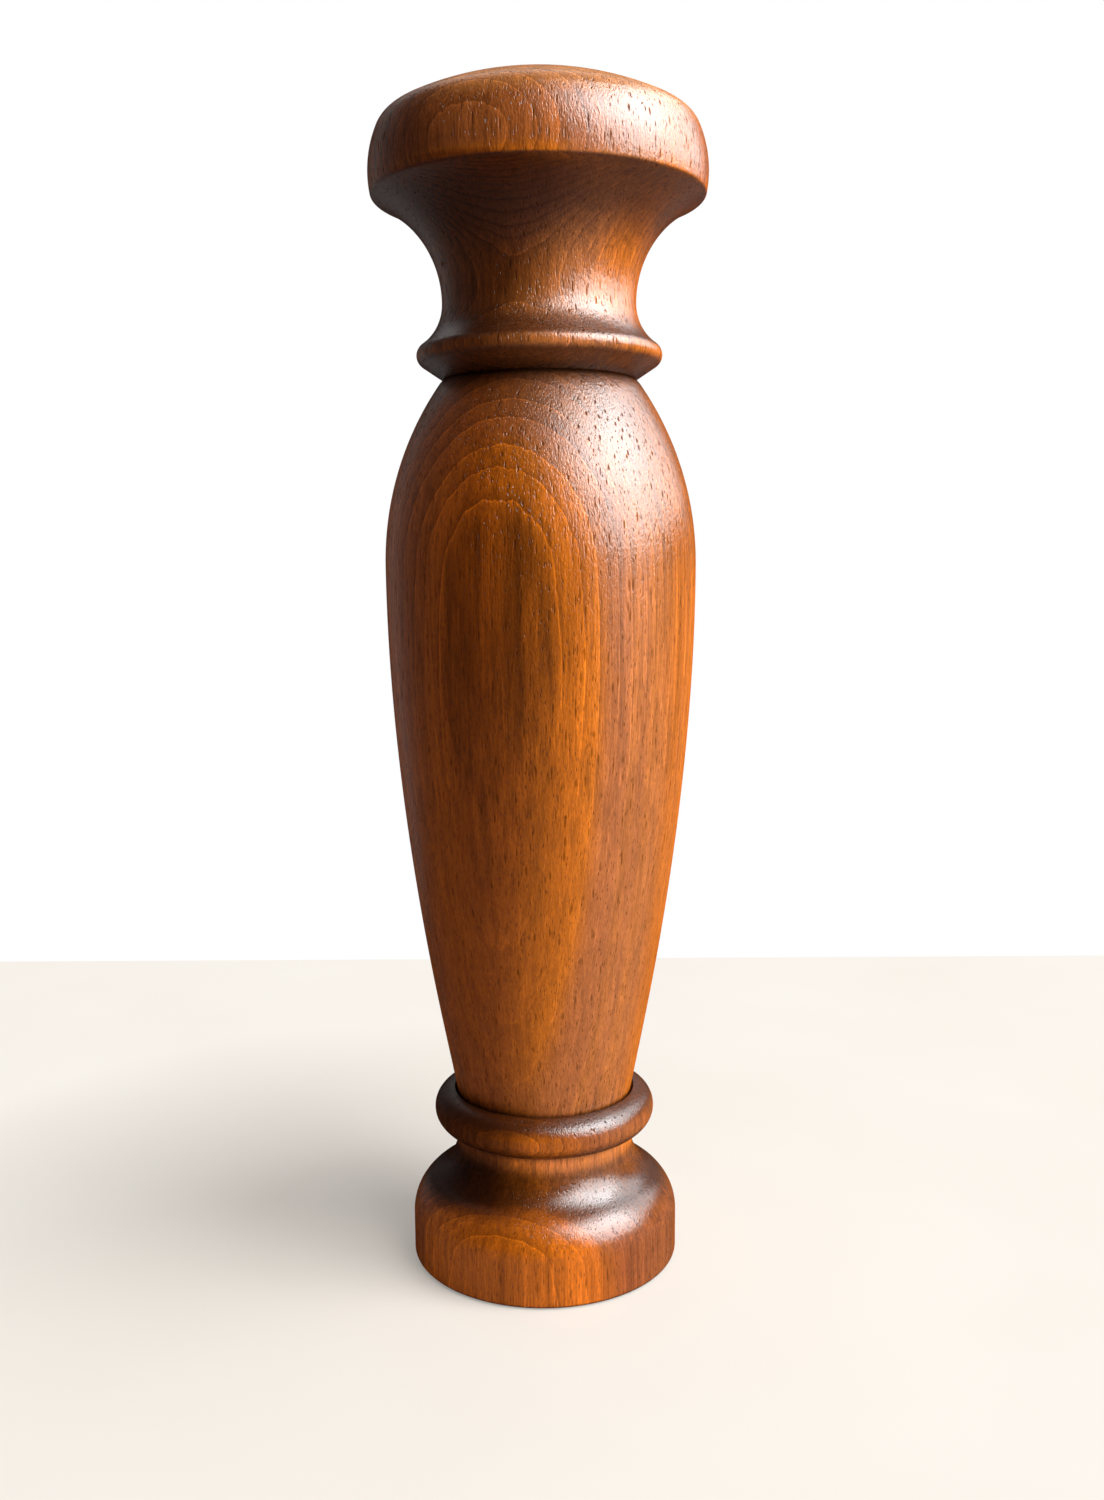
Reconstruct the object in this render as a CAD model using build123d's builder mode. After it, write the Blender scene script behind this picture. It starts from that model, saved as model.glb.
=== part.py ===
from build123d import *
from math import cos, pi, radians, sin, sqrt
import os

# A turned wooden pepper mill with a burr grinder that is adjusted from below.
# Millimetres, +Z up, origin on the table under the middle of the foot. Radii are from the axis.

# Turned body, heights from the table
BODY_HEIGHT = 200.0
FOOT_RADIUS = 30.8
FOOT_WALL = 9.8
FOOT_EDGE = 1.2
NECK_RADIUS = 20.4
NECK_LENGTH = 2.6
RING_STAND = 5.1
RING_ROUND = 4.6
RING_HEIGHT = 35.0
CREASE_DEPTH = 0.9
CREASE_INSET = 0.3
BARREL_LOW_RADIUS = 24.8
BARREL_LOW_HEIGHT = 63.0
BARREL_MID_RADIUS = 30.1
BARREL_MID_HEIGHT = 97.0
BARREL_RADIUS = 34.4
BARREL_SHOULDER = 40.0
BARREL_TOP_RADIUS = 21.3

# Bore and recess in the body
BORE_RADIUS = 13.5
MOUTH_BEVEL = 0.8
RECESS_RADIUS = 20.3
RECESS_DEPTH = 15.0

# Turned head, heights from its seat on the body
HEAD_HEIGHT = 62.0
DOME_RADIUS = 70.0
CROWN_INSET = 2.7
CROWN_ROUND = 4.0
RIM_RADIUS = 36.5
RIM_BELOW_TOP = 19.0
RIM_EDGE_DROP = 4.9
RIM_EDGE_INSET = 0.5
RIM_EDGE_ROUND = 0.6
WAIST_RADIUS = 21.1
WAIST_HEIGHT = 16.2
LOW_COVE_RADIUS = 11.0
BEAD_RADIUS = 26.8
BEAD_ROUND = 2.5
BEAD_UNDERCUT = 58.0
SEAT_INSET = 0.3
TENON_LENGTH = 14.0

# Fits, as room on each side
WOOD_FIT = 0.3
SEAT_FIT = 0.05
RUNNING_FIT = 0.05

# Drive shaft, a square rod with turned corners
SHAFT_ACROSS = 6.0
SHAFT_CORNER_RISE = 1.0
SHAFT_TIP_ROOM = 2.5
SHAFT_TIP_BEVEL = 1.4
SHAFT_PLAY = 0.45
PIN_RADIUS = 2.5
PIN_SHOULDER = 0.9
CLIP_THICKNESS = 0.8
CLIP_RIM = 1.3
CLIP_GROOVE_RISE = 0.4
CLIP_PRONGS = 3
CLIP_PRONG_WIDTH = 1.6
CLIP_MOUTH = 4.4

# Grinder housing
FLANGE_THICKNESS = 2.5
SLEEVE_LENGTH = 35.0
SLEEVE_WALL = 1.1
FUNNEL_LEDGE = 0.9
FUNNEL_HEIGHT = 5.5
SPIDER_DROP = 4.0
SPIDER_HEIGHT = 5.5
SPIDER_ARMS = 3
ARM_WIDTH = 2.6
HUB_WALL = 1.5
BUSH_WALL = 1.1
BUSH_STAND = 0.6
WASHER_THICKNESS = 0.7
WASHER_RIM = 2.2
KEY_RADIUS = 0.85
KEY_COUNT = 3

# Burrs, with fine teeth below the throat and coarse teeth above it
BURR_HEIGHT = 13.0
THROAT_HEIGHT = 5.5
BURR_WALL = 1.5
BURR_LIP = 0.7
THROAT_STEP = 0.8
FINE_TEETH = 24
FINE_DEPTH = 0.5
COARSE_TEETH = 8
COARSE_DEPTH = 0.9
TOOTH_TURN = 14.0
TOOTH_FACE_SHARE = 0.28
GRIND_GAP = 0.55
BURR_DROP = 0.9
INNER_HEIGHT = 13.4
INNER_WALL = 1.45

# Burr carrier with feed wings
CARRIER_WALL = 0.9
HUB_RIM = 1.5
HUB_HEIGHT = 3.5
HUB_BEVEL = 0.8
DOG_WIDTH = 2.4
DOG_DEPTH = 1.4
DOG_REACH = 1.0
WING_COUNT = 3
WING_THICKNESS = 1.5
WING_LEAN = 25.0
WING_ROOM = 1.0

# Spring over the carrier
SPRING_WIRE = 0.9
SPRING_PITCH = 1.9
SPRING_ROOM = 0.3

# Adjusting knob and the clip that keeps it on
KNOB_RADIUS = 8.0
KNOB_HEIGHT = 8.4
KNOB_ROUND = 1.2
KNOB_FLUTES = 12
FLUTE_RADIUS = 1.3
FLUTE_DEPTH = 0.7
KNOB_POCKET_DEPTH = 3.4
KNOB_POCKET_ROOM = 0.7
CLIP_DROP = 1.8
PIN_TAIL = 0.8

# Retaining plate and countersunk screws
PLATE_THICKNESS = 1.2
PLATE_LAP = 1.1
SCREW_COUNT = 3
SCREW_RADIUS = 1.3
SCREW_LENGTH = 9.0
SCREW_POINT = 2.5
SCREW_TIP = 0.3
SLOT_WIDTH = 0.6
SLOT_DEPTH = 0.6

# Drive insert in the head
INSERT_RADIUS = 7.0
INSERT_FLANGE = 2.0
INSERT_LENGTH = 30.0
INSERT_ROOF = 1.5
LEAD_IN = 1.2
GRIP_WIRE = 0.8
GRIP_HEIGHT = 18.0
INSERT_SCREW_COUNT = 2
INSERT_SCREW_RADIUS = 1.0
INSERT_SCREW_HEAD = 1.2
INSERT_SCREW_LENGTH = 10.0

# Heights and radii that follow from the sizes above
shaft_half = SHAFT_ACROSS / 2
shaft_corner = shaft_half + SHAFT_CORNER_RISE
square_hole = SHAFT_ACROSS + 2 * RUNNING_FIT
hole_corner = shaft_corner + RUNNING_FIT
clip_groove = shaft_half + CLIP_GROOVE_RISE
clip_seat = clip_groove + SEAT_FIT

flange_top = RECESS_DEPTH
flange_bottom = flange_top - FLANGE_THICKNESS
plate_bottom = flange_bottom - PLATE_THICKNESS
sleeve_top = flange_top + SLEEVE_LENGTH
sleeve_radius = BORE_RADIUS - WOOD_FIT
burr_seat_radius = sleeve_radius - SLEEVE_WALL
outer_burr_radius = burr_seat_radius - SEAT_FIT
outer_burr_top = flange_bottom + BURR_HEIGHT
throat = flange_bottom + THROAT_HEIGHT

fine_root = outer_burr_radius - BURR_WALL
fine_tip = fine_root - FINE_DEPTH
throat_tip = fine_tip - THROAT_STEP
throat_root = throat_tip + FINE_DEPTH
mouth_root = outer_burr_radius - BURR_LIP
mouth_tip = mouth_root - COARSE_DEPTH

inner_bottom = flange_bottom - BURR_DROP
inner_top = inner_bottom + INNER_HEIGHT
carrier_radius = hole_corner + CARRIER_WALL
inner_bore = carrier_radius + SEAT_FIT
inner_throat_tip = throat_tip - GRIND_GAP
inner_bottom_tip = inner_throat_tip + THROAT_STEP * (throat - inner_bottom) / THROAT_HEIGHT
inner_top_root = inner_bore + INNER_WALL
hub_radius = carrier_radius + HUB_RIM
hub_top = inner_top + HUB_HEIGHT
wing_radius = mouth_tip - WING_ROOM

spider_top = sleeve_top - SPIDER_DROP
spider_bottom = spider_top - SPIDER_HEIGHT
bush_radius = hole_corner + BUSH_WALL
bush_bottom = spider_bottom - BUSH_STAND
bush_top = spider_top + BUSH_STAND
hub_bore = bush_radius + SEAT_FIT
spider_hub_radius = hub_bore + HUB_WALL
funnel_radius = burr_seat_radius - FUNNEL_LEDGE

washer_radius = hole_corner + WASHER_RIM
upper_clip_bottom = bush_top + WASHER_THICKNESS
lower_clip_bottom = bush_bottom - SHAFT_PLAY - CLIP_THICKNESS
spring_top = lower_clip_bottom - WASHER_THICKNESS
spring_radius = shaft_corner + SPRING_ROOM + SPRING_WIRE / 2
coil_height = spring_top - hub_top - SPRING_WIRE

knob_top = inner_bottom
knob_bottom = knob_top - KNOB_HEIGHT
knob_pocket_top = knob_bottom + KNOB_POCKET_DEPTH
end_clip_top = knob_pocket_top - CLIP_DROP
end_clip_bottom = end_clip_top - CLIP_THICKNESS
end_groove = PIN_RADIUS - CLIP_GROOVE_RISE
pin_bottom = end_clip_bottom - PIN_TAIL

tenon_radius = BORE_RADIUS - WOOD_FIT
tenon_bottom = BODY_HEIGHT - TENON_LENGTH
insert_bottom = tenon_bottom - INSERT_FLANGE
insert_top = tenon_bottom + INSERT_LENGTH
insert_flange_radius = tenon_radius - WOOD_FIT
socket_radius = INSERT_RADIUS + SEAT_FIT
grip_height = tenon_bottom + GRIP_HEIGHT
shaft_top = insert_top - INSERT_ROOF - SHAFT_TIP_ROOM
pin_top = inner_bottom + PIN_SHOULDER

flange_radius = RECESS_RADIUS - WOOD_FIT
screw_circle = (BORE_RADIUS + flange_radius) / 2
insert_screw_circle = (INSERT_RADIUS + tenon_radius) / 2


def saw_teeth(count, tip_radius, root_radius, turn):
    """Corners of a ring of saw teeth: each tooth has a steep face and a long back."""
    pitch = 2 * pi / count
    corners = []
    for tooth in range(count):
        tip_angle = radians(turn) + tooth * pitch
        root_angle = tip_angle + TOOTH_FACE_SHARE * pitch
        corners.append((tip_radius * cos(tip_angle), tip_radius * sin(tip_angle)))
        corners.append((root_radius * cos(root_angle), root_radius * sin(root_angle)))
    return corners


def toothed_face(count, tip_radius, root_radius, turn):
    """A flat face whose edge is a ring of saw teeth, in the sketch that is open."""
    Polygon(*saw_teeth(count, tip_radius, root_radius, turn), align=None)


def square_face(across, corner):
    """A square whose corners are turned off to a radius, in the sketch that is open."""
    Rectangle(across, across)
    Circle(corner, mode=Mode.INTERSECT)


def clip_face(seat, rim_inside):
    """A retaining clip: an open ring with three prongs that reach into the groove."""
    Circle(rim_inside + CLIP_RIM)
    Circle(rim_inside, mode=Mode.SUBTRACT)
    with PolarLocations(0, CLIP_PRONGS, start_angle=-90):
        Rectangle(rim_inside + CLIP_RIM / 2, CLIP_PRONG_WIDTH, align=(Align.MIN, Align.CENTER))
    Circle(seat, mode=Mode.SUBTRACT)
    with Locations((0, rim_inside)):
        Rectangle(CLIP_MOUTH, 2 * CLIP_RIM + rim_inside, mode=Mode.SUBTRACT)


def countersunk_screws(circle, count, head_bottom, head, radius, length):
    """Screws in a ring, points up, each head as deep as it is wider than its shank."""
    shank_bottom = head_bottom + head
    above = (Align.CENTER, Align.CENTER, Align.MIN)
    with PolarLocations(circle, count):
        with Locations((0, 0, head_bottom)):
            Cone(radius + head, radius, head, align=above)
        with Locations((0, 0, shank_bottom)):
            Cylinder(radius, length - SCREW_POINT, align=above)
        with Locations((0, 0, shank_bottom + length - SCREW_POINT)):
            Cone(radius, SCREW_TIP, SCREW_POINT, align=above)
        with Locations((0, 0, head_bottom)):
            Box(2 * radius, SLOT_WIDTH, SLOT_DEPTH, align=above, mode=Mode.SUBTRACT)
            Box(SLOT_WIDTH, 2 * radius, SLOT_DEPTH, align=above, mode=Mode.SUBTRACT)


def pilot_holes(circle, count, bottom, radius, length):
    """Blind holes in a ring for the shanks of screws that point up."""
    with PolarLocations(circle, count):
        with Locations((0, 0, bottom)):
            Cylinder(
                radius + SEAT_FIT,
                length + SEAT_FIT,
                align=(Align.CENTER, Align.CENTER, Align.MIN),
                mode=Mode.SUBTRACT,
            )


# Turned body: foot, ogee neck, ring, crease, barrel, and the bore from end to end
ring_radius = NECK_RADIUS + RING_STAND
ring_middle = ring_radius - RING_ROUND
ring_top = RING_HEIGHT + RING_ROUND
ring_under = RING_HEIGHT - sqrt(RING_ROUND**2 - (ring_middle - NECK_RADIUS) ** 2)
neck_bottom = ring_under - NECK_LENGTH
ogee_middle = ((FOOT_RADIUS + NECK_RADIUS) / 2, (FOOT_WALL + neck_bottom) / 2)
barrel_foot = (NECK_RADIUS - CREASE_INSET, ring_top - CREASE_DEPTH)
barrel_low = (BARREL_LOW_RADIUS, BARREL_LOW_HEIGHT)
barrel_middle = (BARREL_MID_RADIUS, BARREL_MID_HEIGHT)
barrel_widest = (BARREL_RADIUS, BODY_HEIGHT - BARREL_SHOULDER)
barrel_rise = (barrel_low[0] - barrel_foot[0], barrel_low[1] - barrel_foot[1])
with BuildPart() as mill_body:
    with BuildSketch(Plane.XZ):
        with BuildLine():
            Line((RECESS_RADIUS, 0), (FOOT_RADIUS, 0))
            Line((FOOT_RADIUS, 0), (FOOT_RADIUS, FOOT_WALL))
            shoulder = TangentArc((FOOT_RADIUS, FOOT_WALL), ogee_middle, tangent=(0, 1))
            TangentArc(ogee_middle, (NECK_RADIUS, neck_bottom), tangent=shoulder % 1)
            Line((NECK_RADIUS, neck_bottom), (NECK_RADIUS, ring_under))
            ThreePointArc((NECK_RADIUS, ring_under), (ring_radius, RING_HEIGHT), (ring_middle, ring_top))
            Line((ring_middle, ring_top), barrel_foot)
            Spline(barrel_foot, barrel_low, barrel_middle, barrel_widest, tangents=(barrel_rise, (0, 1)))
            TangentArc(barrel_widest, (BARREL_TOP_RADIUS, BODY_HEIGHT), tangent=(0, 1))
            Polyline(
                (BARREL_TOP_RADIUS, BODY_HEIGHT),
                (BORE_RADIUS + MOUTH_BEVEL, BODY_HEIGHT),
                (BORE_RADIUS, BODY_HEIGHT - MOUTH_BEVEL),
                (BORE_RADIUS, RECESS_DEPTH),
                (RECESS_RADIUS, RECESS_DEPTH),
                (RECESS_RADIUS, 0),
            )
        make_face()
    revolve(axis=Axis.Z)
    stand_edges = mill_body.edges().filter_by(GeomType.CIRCLE).group_by(Axis.Z)[0]
    fillet(stand_edges.sort_by(SortBy.RADIUS)[-1], FOOT_EDGE)
    pilot_holes(screw_circle, SCREW_COUNT, flange_top, SCREW_RADIUS, SCREW_LENGTH - FLANGE_THICKNESS)
mill_body.part.label = "mill_body"

# Turned head: domed crown, crisp rim, cove waist, bead, and the tenon that turns in the bore
head_top = BODY_HEIGHT + HEAD_HEIGHT
rim_widest = (RIM_RADIUS, head_top - RIM_BELOW_TOP)
rim_edge = (RIM_RADIUS - RIM_EDGE_INSET, head_top - RIM_BELOW_TOP - RIM_EDGE_DROP)
waist = (WAIST_RADIUS, BODY_HEIGHT + WAIST_HEIGHT)
crown_radius = RIM_RADIUS - CROWN_INSET
crown_corner = (crown_radius, head_top - DOME_RADIUS + sqrt(DOME_RADIUS**2 - crown_radius**2))
bead_middle = BEAD_RADIUS - BEAD_ROUND
cove_across = WAIST_RADIUS + LOW_COVE_RADIUS - bead_middle
cove_down = sqrt((LOW_COVE_RADIUS + BEAD_ROUND) ** 2 - cove_across**2)
bead_height = BODY_HEIGHT + WAIST_HEIGHT - cove_down
bead_share = BEAD_ROUND / (LOW_COVE_RADIUS + BEAD_ROUND)
bead_start = (bead_middle + bead_share * cove_across, bead_height + bead_share * cove_down)
bead_end = (
    bead_middle + BEAD_ROUND * cos(radians(BEAD_UNDERCUT)),
    bead_height - BEAD_ROUND * sin(radians(BEAD_UNDERCUT)),
)
with BuildPart() as mill_head:
    with BuildSketch(Plane.XZ):
        with BuildLine():
            TangentArc((0, head_top), crown_corner, tangent=(1, 0))
            ThreePointArc(crown_corner, rim_widest, rim_edge)
            TangentArc(waist, rim_edge, tangent=(0, 1))
            TangentArc(waist, bead_start, tangent=(0, -1))
            ThreePointArc(bead_start, (BEAD_RADIUS, bead_height), bead_end)
            Polyline(
                bead_end,
                (BARREL_TOP_RADIUS - SEAT_INSET, BODY_HEIGHT),
                (tenon_radius, BODY_HEIGHT),
                (tenon_radius, tenon_bottom),
                (socket_radius, tenon_bottom),
                (socket_radius, insert_top + SEAT_FIT),
                (0, insert_top + SEAT_FIT),
                (0, head_top),
            )
        make_face()
    revolve(axis=Axis.Z)
    turned_edges = mill_head.edges().filter_by(lambda edge: edge.is_closed).group_by(Axis.Z)
    fillet(turned_edges[-1], CROWN_ROUND)
    turned_edges = mill_head.edges().filter_by(lambda edge: edge.is_closed).group_by(Axis.Z)
    fillet(turned_edges[-3], RIM_EDGE_ROUND)
    pilot_holes(
        insert_screw_circle,
        INSERT_SCREW_COUNT,
        tenon_bottom,
        INSERT_SCREW_RADIUS,
        INSERT_SCREW_LENGTH,
    )
mill_head.part.label = "mill_head"

# Grinder housing: flange in the recess, sleeve in the bore, and a spider that holds the bush
with BuildPart() as grinder_housing:
    with BuildSketch(Plane.XZ):
        with BuildLine():
            Polyline(
                (burr_seat_radius, flange_bottom),
                (flange_radius, flange_bottom),
                (flange_radius, flange_top),
                (sleeve_radius, flange_top),
                (sleeve_radius, sleeve_top),
                (burr_seat_radius + SLEEVE_WALL / 2, sleeve_top),
                (burr_seat_radius, sleeve_top - SLEEVE_WALL),
                (burr_seat_radius, outer_burr_top + FUNNEL_HEIGHT),
                (funnel_radius, outer_burr_top),
                (burr_seat_radius, outer_burr_top),
                close=True,
            )
        make_face()
    revolve(axis=Axis.Z)
    with BuildSketch(Plane.XY.offset(spider_bottom)):
        Circle(spider_hub_radius)
        with PolarLocations(0, SPIDER_ARMS):
            Rectangle(burr_seat_radius + SLEEVE_WALL / 2, ARM_WIDTH, align=(Align.MIN, Align.CENTER))
        Circle(hub_bore, mode=Mode.SUBTRACT)
    extrude(amount=SPIDER_HEIGHT)
    with PolarLocations(burr_seat_radius, KEY_COUNT, start_angle=180 / KEY_COUNT):
        with Locations((0, 0, flange_bottom)):
            Cylinder(KEY_RADIUS, BURR_HEIGHT, align=(Align.CENTER, Align.CENTER, Align.MIN))
    with BuildSketch(Plane.XY.offset(flange_bottom)):
        with PolarLocations(screw_circle, SCREW_COUNT):
            Circle(SCREW_RADIUS + SEAT_FIT)
    extrude(amount=FLANGE_THICKNESS, mode=Mode.SUBTRACT)
grinder_housing.part.label = "grinder_housing"

# Bush in the hub of the spider, which the shaft's turned corners run in
with BuildPart() as shaft_bush:
    with BuildSketch(Plane.XY.offset(bush_bottom)):
        Circle(bush_radius)
        Circle(hole_corner, mode=Mode.SUBTRACT)
    extrude(amount=bush_top - bush_bottom)
shaft_bush.part.label = "shaft_bush"

# Outer burr: a ceramic ring with fine teeth below its throat and coarse teeth above
with BuildPart() as outer_burr:
    with BuildSketch(Plane.XY.offset(flange_bottom)):
        Circle(outer_burr_radius)
        with PolarLocations(burr_seat_radius, KEY_COUNT, start_angle=180 / KEY_COUNT):
            Circle(KEY_RADIUS + 2 * SEAT_FIT, mode=Mode.SUBTRACT)
    extrude(amount=BURR_HEIGHT)
    with BuildSketch(Plane.XY.offset(flange_bottom)):
        toothed_face(FINE_TEETH, fine_tip, fine_root, 0)
    with BuildSketch(Plane.XY.offset(throat)):
        toothed_face(FINE_TEETH, throat_tip, throat_root, TOOTH_TURN)
    loft(ruled=True, mode=Mode.SUBTRACT)
    with BuildSketch(Plane.XY.offset(throat)):
        toothed_face(COARSE_TEETH, throat_tip, throat_root, TOOTH_TURN)
    with BuildSketch(Plane.XY.offset(outer_burr_top)):
        toothed_face(COARSE_TEETH, mouth_tip, mouth_root, 2 * TOOTH_TURN)
    loft(ruled=True, mode=Mode.SUBTRACT)
outer_burr.part.label = "outer_burr"

# Inner burr: a ceramic cone with teeth that match the outer burr's
with BuildPart() as inner_burr:
    with BuildSketch(Plane.XY.offset(inner_bottom)):
        toothed_face(FINE_TEETH, inner_bottom_tip, inner_bottom_tip - FINE_DEPTH, TOOTH_TURN)
    with BuildSketch(Plane.XY.offset(throat)):
        toothed_face(FINE_TEETH, inner_throat_tip, inner_throat_tip - FINE_DEPTH, 0)
    loft(ruled=True)
    with BuildSketch(Plane.XY.offset(throat)):
        toothed_face(COARSE_TEETH, inner_throat_tip, inner_throat_tip - FINE_DEPTH, 0)
    with BuildSketch(Plane.XY.offset(inner_top)):
        toothed_face(COARSE_TEETH, inner_top_root + COARSE_DEPTH, inner_top_root, -2 * TOOTH_TURN)
    loft(ruled=True)
    with BuildSketch(Plane.XY.offset(inner_bottom)):
        Circle(inner_bore)
    extrude(amount=inner_top - inner_bottom, mode=Mode.SUBTRACT)
    with BuildSketch(Plane.XY.offset(inner_top)):
        Rectangle(2 * (inner_bore + DOG_REACH), DOG_WIDTH + 2 * SEAT_FIT)
    extrude(amount=-DOG_DEPTH - SEAT_FIT, mode=Mode.SUBTRACT)
inner_burr.part.label = "inner_burr"

# Burr carrier: a hub on the square shaft that turns the inner burr and feeds it with its wings
with BuildPart() as burr_carrier:
    with BuildSketch(Plane.XZ):
        with BuildLine():
            Polyline(
                (0, inner_bottom),
                (carrier_radius, inner_bottom),
                (carrier_radius, inner_top),
                (hub_radius, inner_top),
                (hub_radius, hub_top - HUB_BEVEL),
                (hub_radius - HUB_BEVEL, hub_top),
                (0, hub_top),
                close=True,
            )
        make_face()
    revolve(axis=Axis.Z)
    with BuildSketch(Plane.XY.offset(inner_top)):
        Rectangle(2 * (carrier_radius + DOG_REACH), DOG_WIDTH)
    extrude(amount=-DOG_DEPTH)
    wing_middle = (carrier_radius + wing_radius) / 2
    with PolarLocations(wing_middle, WING_COUNT):
        with Locations(Location((0, 0, (inner_top + hub_top) / 2), (WING_LEAN, 0, 0))):
            Box(wing_radius - carrier_radius, WING_THICKNESS, HUB_HEIGHT - WING_THICKNESS)
    with BuildSketch(Plane.XY.offset(inner_bottom)):
        square_face(square_hole, hole_corner)
    extrude(amount=hub_top - inner_bottom, mode=Mode.SUBTRACT)
burr_carrier.part.label = "burr_carrier"

# Compression spring between the carrier and the washer under the lower clip
with BuildPart() as burr_spring:
    with BuildLine() as coil:
        Helix(
            pitch=SPRING_PITCH,
            height=coil_height,
            radius=spring_radius,
            center=(0, 0, hub_top + SPRING_WIRE / 2),
        )
    with BuildSketch(Plane(origin=coil.line @ 0, z_dir=coil.line % 0)):
        Circle(SPRING_WIRE / 2)
    sweep()
burr_spring.part.label = "burr_spring"

# Washers on the shaft, one over the spring and one over the bush
with BuildPart() as spring_washer:
    with BuildSketch(Plane.XY.offset(spring_top)):
        Circle(washer_radius)
        Circle(hole_corner, mode=Mode.SUBTRACT)
    extrude(amount=WASHER_THICKNESS)
spring_washer.part.label = "spring_washer"

with BuildPart() as thrust_washer:
    with BuildSketch(Plane.XY.offset(bush_top)):
        Circle(washer_radius)
        Circle(hole_corner, mode=Mode.SUBTRACT)
    extrude(amount=WASHER_THICKNESS)
thrust_washer.part.label = "thrust_washer"

# Clips in the shaft's grooves
with BuildPart() as lower_clip:
    with BuildSketch(Plane.XY.offset(lower_clip_bottom)):
        clip_face(clip_seat, hole_corner)
    extrude(amount=CLIP_THICKNESS)
lower_clip.part.label = "lower_clip"

with BuildPart() as upper_clip:
    with BuildSketch(Plane.XY.offset(upper_clip_bottom)):
        clip_face(clip_seat, hole_corner)
    extrude(amount=CLIP_THICKNESS)
upper_clip.part.label = "upper_clip"

with BuildPart() as end_clip:
    with BuildSketch(Plane.XY.offset(end_clip_bottom)):
        clip_face(end_groove + SEAT_FIT, PIN_RADIUS + SEAT_FIT)
    extrude(amount=CLIP_THICKNESS)
end_clip.part.label = "end_clip"

# Drive shaft: square rod from the carrier up into the head, round pin below for the knob
with BuildPart() as drive_shaft:
    with BuildSketch(Plane.XY.offset(pin_top)):
        square_face(SHAFT_ACROSS, shaft_corner)
    extrude(amount=shaft_top - pin_top)
    with BuildSketch(Plane.XZ):
        with BuildLine():
            Polyline(
                (shaft_corner - SHAFT_TIP_BEVEL, shaft_top),
                (shaft_corner + SEAT_FIT, shaft_top),
                (shaft_corner + SEAT_FIT, shaft_top - SHAFT_TIP_BEVEL - SEAT_FIT),
                close=True,
            )
        make_face()
    revolve(axis=Axis.Z, mode=Mode.SUBTRACT)
    with BuildSketch(Plane.XY.offset(pin_bottom)):
        Circle(PIN_RADIUS)
    extrude(amount=pin_top - pin_bottom)
    for groove_bottom in (lower_clip_bottom, upper_clip_bottom):
        with BuildSketch(Plane.XY.offset(groove_bottom - SEAT_FIT)):
            Circle(shaft_corner + SEAT_FIT)
            Circle(clip_groove, mode=Mode.SUBTRACT)
        extrude(amount=CLIP_THICKNESS + 2 * SEAT_FIT, mode=Mode.SUBTRACT)
    with BuildSketch(Plane.XY.offset(end_clip_bottom - SEAT_FIT)):
        Circle(PIN_RADIUS + SEAT_FIT)
        Circle(end_groove, mode=Mode.SUBTRACT)
    extrude(amount=CLIP_THICKNESS + 2 * SEAT_FIT, mode=Mode.SUBTRACT)
drive_shaft.part.label = "drive_shaft"

# Adjusting knob: fluted, screwed on the pin, with a pocket for the end clip
with BuildPart() as adjusting_knob:
    with BuildSketch(Plane.XY.offset(knob_bottom)):
        Circle(KNOB_RADIUS)
        with PolarLocations(KNOB_RADIUS + FLUTE_RADIUS - FLUTE_DEPTH, KNOB_FLUTES):
            Circle(FLUTE_RADIUS, mode=Mode.SUBTRACT)
    extrude(amount=KNOB_HEIGHT)
    with BuildSketch(Plane.XZ):
        with BuildLine():
            Polyline(
                (0, knob_bottom),
                (KNOB_RADIUS - KNOB_ROUND, knob_bottom),
                (KNOB_RADIUS, knob_bottom + KNOB_ROUND),
                (KNOB_RADIUS, knob_top - KNOB_ROUND),
                (KNOB_RADIUS - KNOB_ROUND, knob_top),
                (0, knob_top),
                close=True,
            )
        make_face()
    revolve(axis=Axis.Z, mode=Mode.INTERSECT)
    with BuildSketch(Plane.XY.offset(knob_bottom)):
        Circle(PIN_RADIUS + RUNNING_FIT)
    extrude(amount=KNOB_HEIGHT, mode=Mode.SUBTRACT)
    with BuildSketch(Plane.XY.offset(knob_bottom)):
        Circle(PIN_RADIUS + SEAT_FIT + CLIP_RIM + KNOB_POCKET_ROOM)
    extrude(amount=KNOB_POCKET_DEPTH, mode=Mode.SUBTRACT)
adjusting_knob.part.label = "adjusting_knob"

# Retaining plate: a steel ring under the flange that laps under the outer burr
with BuildPart() as retaining_plate:
    with BuildSketch(Plane.XY.offset(plate_bottom)):
        Circle(flange_radius)
        Circle(outer_burr_radius - PLATE_LAP, mode=Mode.SUBTRACT)
    extrude(amount=PLATE_THICKNESS)
    with Locations(Plane((0, 0, plate_bottom), z_dir=(0, 0, -1))):
        with PolarLocations(screw_circle, SCREW_COUNT, start_angle=180):
            CounterSinkHole(
                SCREW_RADIUS + SEAT_FIT,
                SCREW_RADIUS + PLATE_THICKNESS + SEAT_FIT,
                counter_sink_angle=90,
            )
retaining_plate.part.label = "retaining_plate"

with BuildPart() as housing_screws:
    countersunk_screws(
        screw_circle,
        SCREW_COUNT,
        plate_bottom,
        PLATE_THICKNESS,
        SCREW_RADIUS,
        SCREW_LENGTH,
    )
housing_screws.part.label = "housing_screws"

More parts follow.
